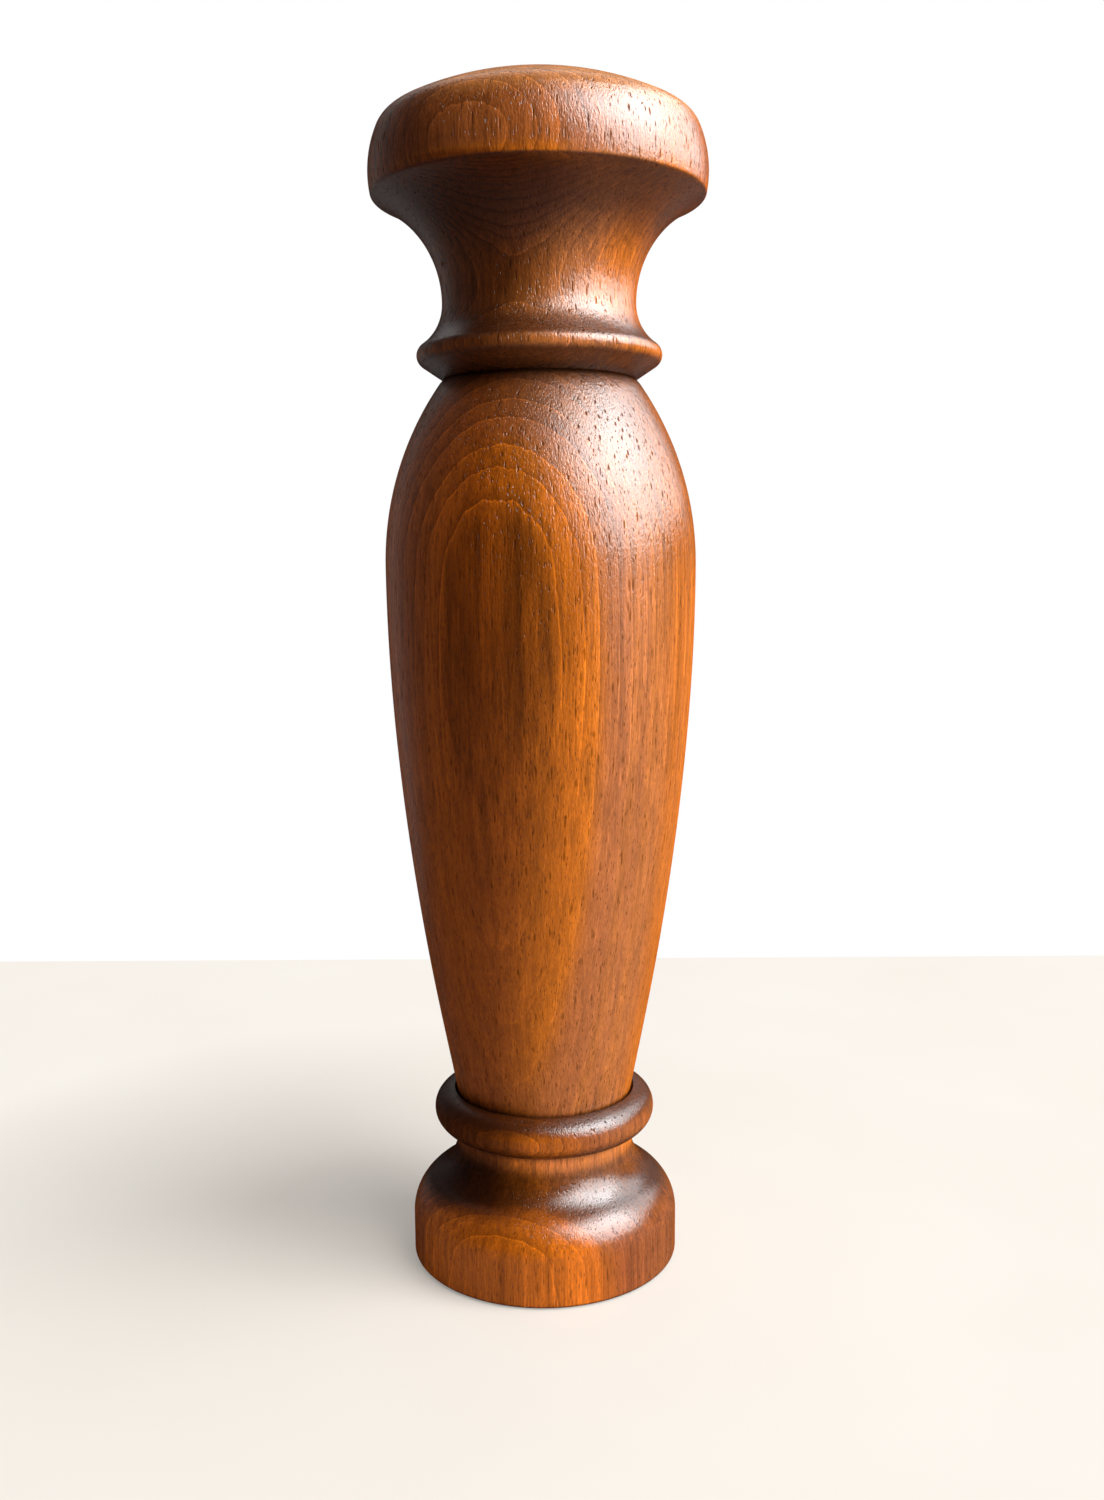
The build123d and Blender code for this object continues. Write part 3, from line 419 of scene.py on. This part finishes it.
# Pores: a fine set, and a sparser coarse one, each a stretched cell with a thin core. The fine ones are
# dark, and the coarse ones are mostly seen where they break the gloss.
CORE_EDGE = 0.4
pores = []
for width, length, core in ((0.5, 3.2, 0.24), (1.2, 7, 0.25)):
    spot = add(tree, "VectorMath", {0: wander, 1: (1 / width, 1 / width, 1 / length)}, operation="MULTIPLY")
    cell = add(tree, "TexVoronoi", {"Vector": spot, "Scale": 1.0, "Randomness": 1.0})
    pores.append(add(tree, "MapRange", {"Value": cell, "From Min": core, "From Max": CORE_EDGE * core},
                     interpolation_type="SMOOTHSTEP"))
fine, coarse = pores
pores = add(tree, "Math", {0: fine, 1: coarse}, operation="MAXIMUM")

# How light the wood is: the ring's shade, as strong as its zones show it, then fibres and streaks, each by
# its swing, then the zones that are lighter or darker. Nearly all of a noise lies within MOST.
MOST = {"From Min": 0.3, "From Max": 0.7}
RING_SWING, PATCH_DEPTHS = 0.9, (29.5, 31.3)
lower = add(tree, "Math", {0: zone["lower"], 1: zone["ogee"]}, operation="MINIMUM")
crisp = add(tree, "Math", {0: zone["upper"], 1: lower}, operation="MAXIMUM")
for factor in (zone["arches"], zone["wall"]):
    crisp = add(tree, "Math", {0: crisp, 1: factor}, operation="MULTIPLY")
level = add(tree, "MapRange", {"Value": shade, "To Min": -RING_SWING, "To Max": RING_SWING})
level = add(tree, "Math", {0: level, 1: crisp, 2: 1.0}, operation="MULTIPLY_ADD")
for noise, swing in ((fibre, 0.27), (streak, 0.28), (cloud, 0.13), (curl, 0.13)):
    part = add(tree, "MapRange", {"Value": noise, **MOST, "To Min": -swing, "To Max": swing})
    part = add(tree, "Math", {0: part, 1: zone["calm"], 2: 1.0}, operation="MULTIPLY_ADD")
    level = add(tree, "Math", {0: level, 1: part}, operation="MULTIPLY")
ends = {"From Min": on_ramp(PATCH_DEPTHS[0]), "From Max": on_ramp(PATCH_DEPTHS[1])}
patches = add(tree, "MapRange", {"Value": depth, **ends})
ends = {"From Min": 0.38, "From Max": 0.62, "To Min": 0.2, "To Max": 0.54}
patch = add(tree, "MapRange", {"Value": patch, **ends})
for factor in (zone["aloft"], patch):
    patches = add(tree, "Math", {0: patches, 1: factor}, operation="MULTIPLY")
patches = add(tree, "Math", {0: 1.0, 1: patches}, operation="SUBTRACT")
patches = add(tree, "Math", {0: patches, 1: zone["head"]}, operation="MAXIMUM")
band = add(tree, "Math", {0: zone["band_foot"], 1: zone["band_top"]}, operation="MAXIMUM")
shaded = zone["shoulder"]
for factor in (zone["right"], zone["under_seat"]):
    shaded = add(tree, "Math", {0: shaded, 1: factor}, operation="MULTIPLY")
shaded = add(tree, "Math", {0: 1.0, 1: shaded}, operation="SUBTRACT")
# The neck's brightening is painted light.
for factor in (patches, zone["neck"], band, shaded):
    level = add(tree, "Math", {0: level, 1: factor}, operation="MULTIPLY")

# The colour: the tone at that lightness, then the dark end grain, the pores, and painted shade in corners
# and recesses.
FINE_DARK, COARSE_DARK, DUST_AND_SHADE_DARK = 0.7, 0.45, 0.85
colour = add(tree, "VectorMath", {0: toned, "Scale": level}, operation="SCALE")
end_grain = add(tree, "Attribute", {}, attribute_name="end_grain").node.outputs["Fac"]
end_grain = add(tree, "MapRange", {"Value": end_grain, "From Min": 0.15, "From Max": 0.75, "To Max": 0.8},
                interpolation_type="SMOOTHSTEP")
fine = add(tree, "Math", {0: fine, 1: FINE_DARK}, operation="MULTIPLY")
coarse = add(tree, "Math", {0: coarse, 1: COARSE_DARK}, operation="MULTIPLY")
dark_pores = add(tree, "Math", {0: coarse, 1: fine}, operation="MAXIMUM")
# The profile's share of painted shade, darkest in the crease, the neck's corner and under the bead.
dust_and_shade = add(tree, "Attribute", {}, attribute_name="dust_and_shade").node.outputs["Fac"]
dust_and_shade = add(tree, "Math", {0: dust_and_shade, 1: DUST_AND_SHADE_DARK}, operation="MULTIPLY")
for share, dark in ((end_grain, END_GRAIN), (dark_pores, PORE), (dust_and_shade, SHADE_AND_DUST_TONE)):
    colour = add(tree, "MixRGB", {"Fac": share, "Color1": colour, "Color2": linear(dark)})

# The surface: rougher in the pores, with a fine relief of fibres, curl and pores. The oil's film breaks at
# the pores, thins where the surface turns edge-on, is rubbed off the dome, and is thinner on the dark left
# side of ogee and ring, partly soaked into the dark heart and partly to deepen the painted shade there.
PORE_ROUGH, RELIEF_DEPTH, FIBRE_RISE, PORE_RISE = (0.7, 0.7, 0.7, 1), 0.11, 0.5, -0.6
ends = {"From Min": 0.25, "From Max": 0.75, "To Min": 0.34, "To Max": 0.47}
gleam = add(tree, "MapRange", {"Value": fibre, **ends})
gleam = add(tree, "MixRGB", {"Fac": pores, "Color1": gleam, "Color2": PORE_ROUGH})
relief = add(tree, "Math", {0: fibre, 1: FIBRE_RISE, 2: curl}, operation="MULTIPLY_ADD")
relief = add(tree, "Math", {0: pores, 1: PORE_RISE, 2: relief}, operation="MULTIPLY_ADD")
relief = add(tree, "Math", {0: relief, 1: zone["filled"]}, operation="MULTIPLY")
paint(tree, shader, colour, gleam, relief, RELIEF_DEPTH)
open_pores = add(tree, "Math", {0: pores, 1: zone["filled"]}, operation="MULTIPLY")
film = add(tree, "MapRange", {"Value": open_pores, "To Min": 1.0, "To Max": 0.05})
edge = add(tree, "LayerWeight", {"Blend": 0.5}).node.outputs["Facing"]
ends = {"From Min": 0.68, "From Max": 0.9, "To Min": 1.0, "To Max": 0.2}
edge = add(tree, "MapRange", {"Value": edge, **ends})
dry_and_shaded = add(tree, "Math", {0: side, 1: low_heart_and_shade}, operation="MULTIPLY")
dry_and_shaded = add(tree, "MapRange", {"Value": dry_and_shaded, "To Min": 1.0, "To Max": 0.2})
for factor in (edge, zone["rubbed"], dry_and_shaded):
    film = add(tree, "Math", {0: film, 1: factor}, operation="MULTIPLY")
tree.links.new(film, shader.inputs["Coat Weight"])

body_wood.data.materials.append(oiled_wood)
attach(body_wood, "body")
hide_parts("mill_body")

# MOULDED PIECES. The grinder's housing and the burr's carrier, the knob under the foot and the socket in
# the head are moulded in black nylon. The mould was spark eroded, which leaves a fine even grain.


def dress(material, *nodes):
    """Puts a material on every slot of the named CAD nodes."""
    for node in nodes:
        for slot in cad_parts[node].material_slots:
            slot.material = material


nylon, tree, shader, mm = bare_material("nylon_moulded_black", IOR=1.53)
spot = add(tree, "VectorMath", {0: mm, 1: (1 / 0.3, 1 / 0.3, 1 / 0.3)}, operation="MULTIPLY")
grain = add(tree, "TexNoise", {"Vector": spot, "Scale": 1.0, "Detail": 2.0})
spot = add(tree, "VectorMath", {0: mm, 1: (1 / 7, 1 / 7, 1 / 12)}, operation="MULTIPLY")
flow = add(tree, "TexNoise", {"Vector": spot, "Scale": 1.0, "Detail": 3.0})
colour = add(tree, "MixRGB", {"Fac": flow, "Color1": linear("#161617"), "Color2": linear("#2a2a2b")})
gloss = add(tree, "MapRange", {"Value": flow, **MOST, "To Min": 0.42, "To Max": 0.58})
paint(tree, shader, colour, gloss, grain, 0.04)
dress(nylon, "grinder_housing", "burr_carrier", "adjusting_knob", "drive_insert")

# BUSH. A turned brass bush, pressed into the hub of the housing's spider, where the shaft runs.
# The tool leaves fine rings round it.
brass, tree, shader, mm = bare_material("brass_turned", Metallic=1.0)
spot = add(tree, "VectorMath", {0: mm, 1: (1 / 25, 1 / 25, 1 / 0.2)}, operation="MULTIPLY")
rings = add(tree, "TexNoise", {"Vector": spot, "Scale": 1.0, "Detail": 2.0})
colour = add(tree, "MixRGB", {"Fac": rings, "Color1": linear("#b58a3c"), "Color2": linear("#dcb868")})
gloss = add(tree, "MapRange", {"Value": rings, **MOST, "To Min": 0.22, "To Max": 0.4})
paint(tree, shader, colour, gloss, rings, 0.02)
dress(brass, "shaft_bush")

# BURRS. The fixed outer burr and the turning inner burr are pressed from alumina and fired, so they are
# matt and off-white. Pepper leaves a little brown dust on them.
alumina, tree, shader, mm = bare_material("alumina_pressed_and_fired", IOR=1.76)
spot = add(tree, "VectorMath", {0: mm, 1: (1 / 0.35, 1 / 0.35, 1 / 0.35)}, operation="MULTIPLY")
grit = add(tree, "TexNoise", {"Vector": spot, "Scale": 1.0, "Detail": 3.0})
spot = add(tree, "VectorMath", {0: mm, 1: (1 / 3.5, 1 / 3.5, 1 / 3.5)}, operation="MULTIPLY")
smear = add(tree, "TexNoise", {"Vector": spot, "Scale": 1.0, "Detail": 4.0})
smear = add(tree, "MapRange", {"Value": smear, "From Min": 0.5, "From Max": 0.8, "To Max": 0.55})
colour = add(tree, "MixRGB", {"Fac": grit, "Color1": linear("#d9d4c8"), "Color2": linear("#f0ece2")})
colour = add(tree, "MixRGB", {"Fac": smear, "Color1": colour, "Color2": linear("#a58a63")})
gloss = add(tree, "MapRange", {"Value": grit, **MOST, "To Min": 0.42, "To Max": 0.6})
paint(tree, shader, colour, gloss, grit, 0.03)
dress(alumina, "outer_burr", "inner_burr")

# PLATE AND WASHERS. Punched from stainless strip that was brushed along its length, so the lines all run
# one way. The plate holds the outer burr in, and the washers take the shaft's and the spring's thrust.
strip, tree, shader, mm = bare_material("stainless_strip_brushed", Metallic=1.0)
spot = add(tree, "VectorMath", {0: mm, 1: (1 / 22, 1 / 0.18, 1 / 0.18)}, operation="MULTIPLY")
brush = add(tree, "TexNoise", {"Vector": spot, "Scale": 1.0, "Detail": 3.0, "Roughness": 0.65})
colour = add(tree, "MixRGB", {"Fac": brush, "Color1": linear("#a3a4a5"), "Color2": linear("#cfd0d0")})
gloss = add(tree, "MapRange", {"Value": brush, **MOST, "To Min": 0.26, "To Max": 0.46})
paint(tree, shader, colour, gloss, brush, 0.012)
dress(strip, "retaining_plate", "thrust_washer", "spring_washer")

# SCREWS. Countersunk wood screws with a cross recess, zinc plated and passivated, which leaves a faint
# yellow and blue cast over the bright metal. Three hold the housing, and two the socket.
zinc, tree, shader, mm = bare_material("steel_zinc_plated", Metallic=1.0)
spot = add(tree, "VectorMath", {0: mm, 1: (1 / 1.8, 1 / 1.8, 1 / 1.8)}, operation="MULTIPLY")
cast = add(tree, "TexNoise", {"Vector": spot, "Scale": 1.0, "Detail": 3.0})
colour = add(tree, "MixRGB", {"Fac": cast, "Color1": linear("#c9c3ae"), "Color2": linear("#b9c2cc")})
gloss = add(tree, "MapRange", {"Value": cast, **MOST, "To Min": 0.24, "To Max": 0.42})
paint(tree, shader, colour, gloss, cast, 0.01)
dress(zinc, "housing_screws", "insert_screws")

# SHAFT. A square rod of drawn aluminium, turned down at its lower end for the knob. The die leaves fine
# lines along it.
aluminium, tree, shader, mm = bare_material("aluminium_drawn", Metallic=1.0)
spot = add(tree, "VectorMath", {0: mm, 1: (1 / 0.22, 1 / 0.22, 1 / 45)}, operation="MULTIPLY")
drawn = add(tree, "TexNoise", {"Vector": spot, "Scale": 1.0, "Detail": 3.0, "Roughness": 0.6})
colour = add(tree, "MixRGB", {"Fac": drawn, "Color1": linear("#b7babd"), "Color2": linear("#dcdee0")})
gloss = add(tree, "MapRange", {"Value": drawn, **MOST, "To Min": 0.25, "To Max": 0.42})
paint(tree, shader, colour, gloss, drawn, 0.012)
dress(aluminium, "drive_shaft")

# CLIPS. The three clips that snap into the shaft's grooves are stamped from spring steel, then hardened and
# tempered, which leaves a brown-grey skin with lighter rubbed places.
tempered, tree, shader, mm = bare_material("spring_steel_tempered", Metallic=1.0)
spot = add(tree, "VectorMath", {0: mm, 1: (1 / 1.2, 1 / 1.2, 1 / 1.2)}, operation="MULTIPLY")
skin = add(tree, "TexNoise", {"Vector": spot, "Scale": 1.0, "Detail": 4.0, "Roughness": 0.6})
colour = add(tree, "MixRGB", {"Fac": skin, "Color1": linear("#6f6a66"), "Color2": linear("#a9a7a6")})
gloss = add(tree, "MapRange", {"Value": skin, **MOST, "To Min": 0.28, "To Max": 0.45})
paint(tree, shader, colour, gloss, skin, 0.01)
dress(tempered, "upper_clip", "lower_clip", "end_clip")

# SPRING. A coil of round spring steel wire between the washer on the shaft and the burr's carrier.
SPRING_WIRE, SPRING_RADIUS, SPRING_PITCH = 0.9, 4.75, 1.9
SPRING_FOOT, SPRING_TOP = 28.5, 37.95


def wound(name, along=48, around=16):
    """A wire round a helix. Its middle line is (R cos a, R sin a, start + pitch a / 2 pi), and the wire is
    the circle round it: middle + wire / 2 (out cos b + side sin b), where out is (cos a, sin a, 0) and side
    is square to it and to the line. Each end closes in a fan round the line's end."""
    coils = (SPRING_TOP - SPRING_FOOT - SPRING_WIRE) / SPRING_PITCH
    a = np.linspace(0, 2 * np.pi * coils, int(coils * along) + 1)
    b = np.linspace(0, 2 * np.pi, around, endpoint=False)[:, None]
    start = SPRING_FOOT + SPRING_WIRE / 2
    out = np.column_stack((np.cos(a), np.sin(a), 0 * a))
    middle = np.column_stack((SPRING_RADIUS * out[:, :2], start + SPRING_PITCH * a / (2 * np.pi)))
    course = np.column_stack((-np.sin(a), np.cos(a), 0 * a + SPRING_PITCH / (2 * np.pi * SPRING_RADIUS)))
    side = np.cross(out, course / np.linalg.norm(course, axis=1, keepdims=True))
    skin = out[:, None] * np.cos(b) + side[:, None] * np.sin(b)
    points = np.vstack(((middle[:, None] + SPRING_WIRE / 2 * skin).reshape(-1, 3), middle[[0, -1]]))
    i, j = np.arange(len(a) - 1)[:, None] * around, np.arange(around)
    k, last = (j + 1) % around, (len(a) - 1) * around
    quads = np.stack((i + j, i + around + j, i + around + k, i + k), axis=-1).reshape(-1, 4)
    first_end, last_end = last + around, last + around + 1
    faces = quads.tolist() + np.column_stack((first_end + 0 * j, j, k)).tolist()
    faces += np.column_stack((last_end + 0 * j, last + k, last + j)).tolist()
    return make(name, points, faces)


spring = wound("spring_wound")
spring.data.materials.append(tempered)
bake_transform(spring)
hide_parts("burr_spring")

# HEAD. Turned from the same length of wood as the body, so the grain runs on: a domed crown with a rounded
# rim, a cove to a narrow waist, a bead, and a tenon below that turns in the body's bore.
TENON_RADIUS, TENON_FOOT, TENON_CHAMFER = 13.2, 186.0, 0.4
SOCKET_RADIUS, SOCKET_TOP = 7.05, 216.05
SEAT_INSET, TENON_STEP, BEAD_FOOT = 0.3, 0.1, (25.6, 203.05)
BEAD_CENTRE, BEAD_ROUND, BEAD_FIRST, BEAD_LAST = (24.3, 205.18), 2.5, -58, 54.71
WAIST_RADIUS, WAIST_HEIGHT = 21.1, 216.2
LOWER_COVE, UPPER_COVE, COVE_LAST, LIP_EASE = 11.0, 23.544, 111.54, 0.5
RIM_POINTS, RIM_EASE = ((36.0, 238.1), (36.5, 243.0), (33.8, 253.3)), 1.6
DOME_ROUND, DOME_FIRST, HEAD_TOP = 70.0, 61.13, 262.0


def through(first, middle, last, step=0.5):
    """Points on the circle through three points: its centre has the same distance to all three, which
    gives two linear equations."""
    p = np.array((first, middle, last))
    centre = np.linalg.solve(2 * (p[1:] - p[0]), (p[1:] ** 2).sum(1) - (p[0] ** 2).sum())
    a = np.degrees(np.arctan2(*(p - centre).T[::-1]))
    return arc(centre, np.hypot(*(p[0] - centre)), a[0], a[2], step)


inside = np.vstack((
    (0, SOCKET_TOP),
    line((SOCKET_RADIUS, SOCKET_TOP), (SOCKET_RADIUS, TENON_FOOT), 3),
    line((SOCKET_RADIUS, TENON_FOOT), (TENON_RADIUS - TENON_CHAMFER, TENON_FOOT), 1),
    line((TENON_RADIUS, TENON_FOOT + TENON_CHAMFER), (TENON_RADIUS, SEAT_HEIGHT), 1)))
head_seat = (SEAT_RADIUS - SEAT_INSET, SEAT_HEIGHT)
bead = np.vstack((
    line((TENON_RADIUS + TENON_STEP, SEAT_HEIGHT), head_seat, 0.8),
    line(head_seat, BEAD_FOOT, 0.5)[1:-1],
    arc(BEAD_CENTRE, BEAD_ROUND, BEAD_FIRST, BEAD_LAST, 0.25)))
cove = np.vstack((
    arc((WAIST_RADIUS + LOWER_COVE, WAIST_HEIGHT), LOWER_COVE, 180 + BEAD_LAST, 180, 0.5),
    arc((WAIST_RADIUS + UPPER_COVE, WAIST_HEIGHT), UPPER_COVE, 180, COVE_LAST, 0.4)))
rim = through(*RIM_POINTS, step=0.3)
rim[0] = cove[-1]
dome = arc((0, HEAD_TOP - DOME_ROUND), DOME_ROUND, DOME_FIRST, 90, 0.6)
dome[0], dome[-1] = rim[-1], (0, HEAD_TOP)
crown = eased(rim, dome, RIM_EASE)
head_profile = np.vstack((inside, bead, eased(cove, crown, LIP_EASE)))

# Painted shade darkens the underside of the bead, and the tenon and the socket are evenly darker. Hands
# keep the crown clean and worn, so little of its end grain darkens.
UNDER_SHADE, UNDER_SIZE, HIDDEN_DARK = 0.6, 2.4, 0.25
CROWN_FOOT, CROWN_ENDS = 239.0, 0.3


def head_dust_and_shade(rows):
    """Share of painted shade at (r, z): the most of share exp(-(d / size)^2), with d the distance from the
    edge of the body's seat, and of one even darkening on the tenon and in the socket."""
    under = UNDER_SHADE * np.exp(-(np.hypot(*(rows - SEAT_EDGE).T) / UNDER_SIZE) ** 2)
    in_socket = (rows[:, 0] <= SOCKET_RADIUS) & (rows[:, 1] < SOCKET_TOP + DARK_MARGIN)
    hidden = HIDDEN_DARK * (in_socket | (rows[:, 1] < SEAT_HEIGHT - DARK_MARGIN))
    return np.maximum(under, hidden)


def head_ends(rows):
    """Share of the end grain that shows at (r, z): less on the crown than below it."""
    return np.where(rows[:, 1] > CROWN_FOOT, CROWN_ENDS, 1.0)


head_wood = turned("head_turned", head_profile, head_dust_and_shade, head_ends)
head_wood.data.materials.append(oiled_wood)
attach(head_wood, "head")
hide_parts("mill_head")

# GRIP RING. A nitrile rubber ring in the socket, which grips the shaft's corners and holds the head down.
# It was moulded, so it is matt black with a fine bloom.
rubber, tree, shader, mm = bare_material("nitrile_rubber_moulded", IOR=1.52)
spot = add(tree, "VectorMath", {0: mm, 1: (1 / 0.5, 1 / 0.5, 1 / 0.5)}, operation="MULTIPLY")
bloom = add(tree, "TexNoise", {"Vector": spot, "Scale": 1.0, "Detail": 3.0})
colour = add(tree, "MixRGB", {"Fac": bloom, "Color1": linear("#111112"), "Color2": linear("#232324")})
gloss = add(tree, "MapRange", {"Value": bloom, **MOST, "To Min": 0.55, "To Max": 0.75})
paint(tree, shader, colour, gloss, bloom, 0.02)
dress(rubber, "grip_ring")

# TABLE. A plain pale board that the mill stands on, with its back edge 239 mm behind the mill's axis. It
# lies a tenth of a millimetre low, so that the foot's underside stays clear of it.
TABLE_X, TABLE_Y, TABLE_DROP = (-900, 900), (-900, 239), 0.1
TABLE_COLUMNS, TABLE_ROWS = 13, 9
x, y = np.meshgrid(np.linspace(*TABLE_X, TABLE_COLUMNS), np.linspace(*TABLE_Y, TABLE_ROWS))
points = np.column_stack((x.ravel(), y.ravel(), 0 * x.ravel() - TABLE_DROP))
i, j = np.meshgrid(np.arange(TABLE_COLUMNS - 1), np.arange(TABLE_ROWS - 1))
corner = (j * TABLE_COLUMNS + i).ravel()
faces = np.column_stack((corner, corner + 1, corner + TABLE_COLUMNS + 1, corner + TABLE_COLUMNS))
table = make("table", points, faces.tolist())

# Pale paint with a faint mottle. To the camera a share of it is plain colour, least by the foot's left,
# where the shadow starts, and all of it far out. To other rays it is duller, apart from a lit patch at the
# right, so that little light comes back up from it.
SHADOW_ROOT, LIT_PATCH, PLAIN_STRENGTH = (-38, 10, 0), (100, -30, 0), 1.13
board, tree, shader, mm = bare_material("board_painted_pale", Roughness=0.75)
spot = add(tree, "VectorMath", {0: mm, 1: (1 / 60, 1 / 60, 1 / 60)}, operation="MULTIPLY")
mottle = add(tree, "TexNoise", {"Vector": spot, "Scale": 1.0, "Detail": 2.0})
pale = add(tree, "MixRGB", {"Fac": mottle, "Color1": linear("#ece6de"), "Color2": linear("#f1ece5")})
warm = add(tree, "MixRGB", {"Fac": mottle, "Color1": linear("#ece3d8"), "Color2": linear("#f1e9df")})
ray = add(tree, "LightPath", {}).node.outputs
lit = add(tree, "VectorMath", {0: mm, 1: LIT_PATCH}, operation="DISTANCE")
ends = {"From Min": 140.0, "From Max": 280.0, "To Min": 1.0, "To Max": 0.0}
lit = add(tree, "MapRange", {"Value": lit, **ends}, interpolation_type="SMOOTHSTEP")
lit = add(tree, "Math", {0: lit, 1: ray["Is Diffuse Ray"]}, operation="MULTIPLY")
dull = {"Color1": linear("#262422"), "Color2": linear("#aaa195")}
bounce = add(tree, "MixRGB", {"Fac": ray["Is Diffuse Ray"], **dull})
bounce = add(tree, "MixRGB", {"Fac": lit, "Color1": bounce, "Color2": linear("#ece4da")})
shown = add(tree, "MixRGB", {"Fac": ray["Is Camera Ray"], "Color1": bounce, "Color2": warm})
tree.links.new(shown, shader.inputs["Base Color"])
share = add(tree, "VectorMath", {0: mm, 1: SHADOW_ROOT}, operation="DISTANCE")
ends = {"From Min": 35.0, "From Max": 150.0, "To Min": 0.28, "To Max": 0.92}
share = add(tree, "MapRange", {"Value": share, **ends})
outer = add(tree, "VectorMath", {0: mm}, operation="LENGTH")
outer = add(tree, "MapRange", {"Value": outer, "From Min": 330.0, "From Max": 520.0})
share = add(tree, "Math", {0: share, 1: outer}, operation="MAXIMUM")
share = add(tree, "Math", {0: ray["Is Camera Ray"], 1: share}, operation="MULTIPLY")
plain = add(tree, "Emission", {"Color": pale, "Strength": PLAIN_STRENGTH})
blend = add(tree, "MixShader", {0: share, 1: shader.outputs[0], 2: plain})
tree.links.new(blend, tree.nodes["Material Output"].inputs["Surface"])
table.data.materials.append(board)

# LIGHT. A large soft box at the right, above and a little towards the camera, and a low white card under it
# that doesn't show in the gloss. Two cool panels show in the gloss alone.
WHITE, COOL, LAMP_AIM = (1.0, 1.0, 1.0), (0.88, 0.96, 1.0), 0.13
# Name, turn and rise in degrees, distance, width and height in metres, power in watts, whether it lights
# the surfaces, whether it shows in the gloss, and colour.
LAMPS = (("soft_box", 60, 46, 0.9, 0.9, 0.6, 11.0, True, True, WHITE),
         ("white_card", 67, 3, 1.0, 0.6, 0.4, 9.3, True, False, WHITE),
         ("gleam", 66, 30, 0.9, 0.8, 0.75, 20.0, False, True, COOL),
         ("side_gleam", 108, 34, 0.75, 0.65, 0.6, 6.8, False, True, COOL))
for name, turn, rise, far, width, tall, power, lights, shows, colour in LAMPS:
    turn, rise = radians(turn), radians(rise)
    lamp = bpy.data.lights.new(name, "AREA")
    lamp.shape, lamp.size, lamp.size_y = "RECTANGLE", width, tall
    lamp.energy, lamp.color = power, colour
    stand = bpy.data.objects.new(name, lamp)
    stand.location = (far * sin(turn) * cos(rise), -far * cos(turn) * cos(rise), LAMP_AIM + far * sin(rise))
    stand.rotation_euler = (radians(90) - rise, 0, turn)
    stand.visible_diffuse, stand.visible_glossy = lights, shows
    bpy.context.collection.objects.link(stand)

# The room is white behind the table, to the camera and through clear things, and pale grey elsewhere. In
# the gloss it is dim, and brighter up behind. As light it comes mostly from behind on the left.
# Each glow grows as the ray turns towards its side of the room.
world = bpy.data.worlds.new("white_room")
bpy.context.scene.world = world
world.use_nodes = True
tree = world.node_tree
tree.nodes.clear()
ray = add(tree, "LightPath", {}).node.outputs
place = add(tree, "TexCoord", {})
glow = {}
for name, towards, start, stop, first, last in (
        ("wall", (0, 1, 0), 0.4, 0.84, 0.7, 1.0), ("gloss", (0, 1, 0), 0.3, 0.8, 0.012, 0.2),
        ("above", (0, 0.6, 0.8), 0.78, 0.98, 0.0, 0.75), ("light", (-0.6, 0.8, 0), 0.2, 0.9, 0.012, 0.8)):
    facing = add(tree, "VectorMath", {0: place, 1: towards}, operation="DOT_PRODUCT")
    ends = {"From Min": start, "From Max": stop, "To Min": first, "To Max": last}
    glow[name] = add(tree, "MapRange", {"Value": facing, **ends})
gloss = add(tree, "Math", {0: glow["above"], 1: glow["gloss"]}, operation="ADD")
room = add(tree, "MixRGB", {"Fac": ray["Is Glossy Ray"], "Color1": glow["light"], "Color2": gloss})
seen = add(tree, "Math", {0: ray["Is Camera Ray"], 1: ray["Is Transmission Ray"]}, operation="MAXIMUM")
room = add(tree, "MixRGB", {"Fac": seen, "Color1": room, "Color2": glow["wall"]})
room = add(tree, "Background", {"Color": room, "Strength": 1.0})
add(tree, "OutputWorld", {"Surface": room})

# CAMERA. A short lens, close to the mill and a little above its middle. It looks slightly down, by TILT
# degrees, and leans to one side by ROLL.
LENS, SENSOR, TILT, ROLL = 33.6, 36.0, 7.79, -0.32
lens = bpy.data.cameras.new("camera")
lens.sensor_fit, lens.sensor_height, lens.lens = "VERTICAL", SENSOR, LENS
lens.clip_start = 0.01
camera = bpy.data.objects.new("camera", lens)
camera.location = (0.002268, -0.315, 0.1615)
down = Matrix.Rotation(radians(90 - TILT), 3, "X")
camera.rotation_euler = (down @ Matrix.Rotation(radians(ROLL), 3, "Z")).to_euler()
bpy.context.collection.objects.link(camera)
bpy.context.scene.camera = camera
bpy.context.scene.view_settings.view_transform = "Standard"
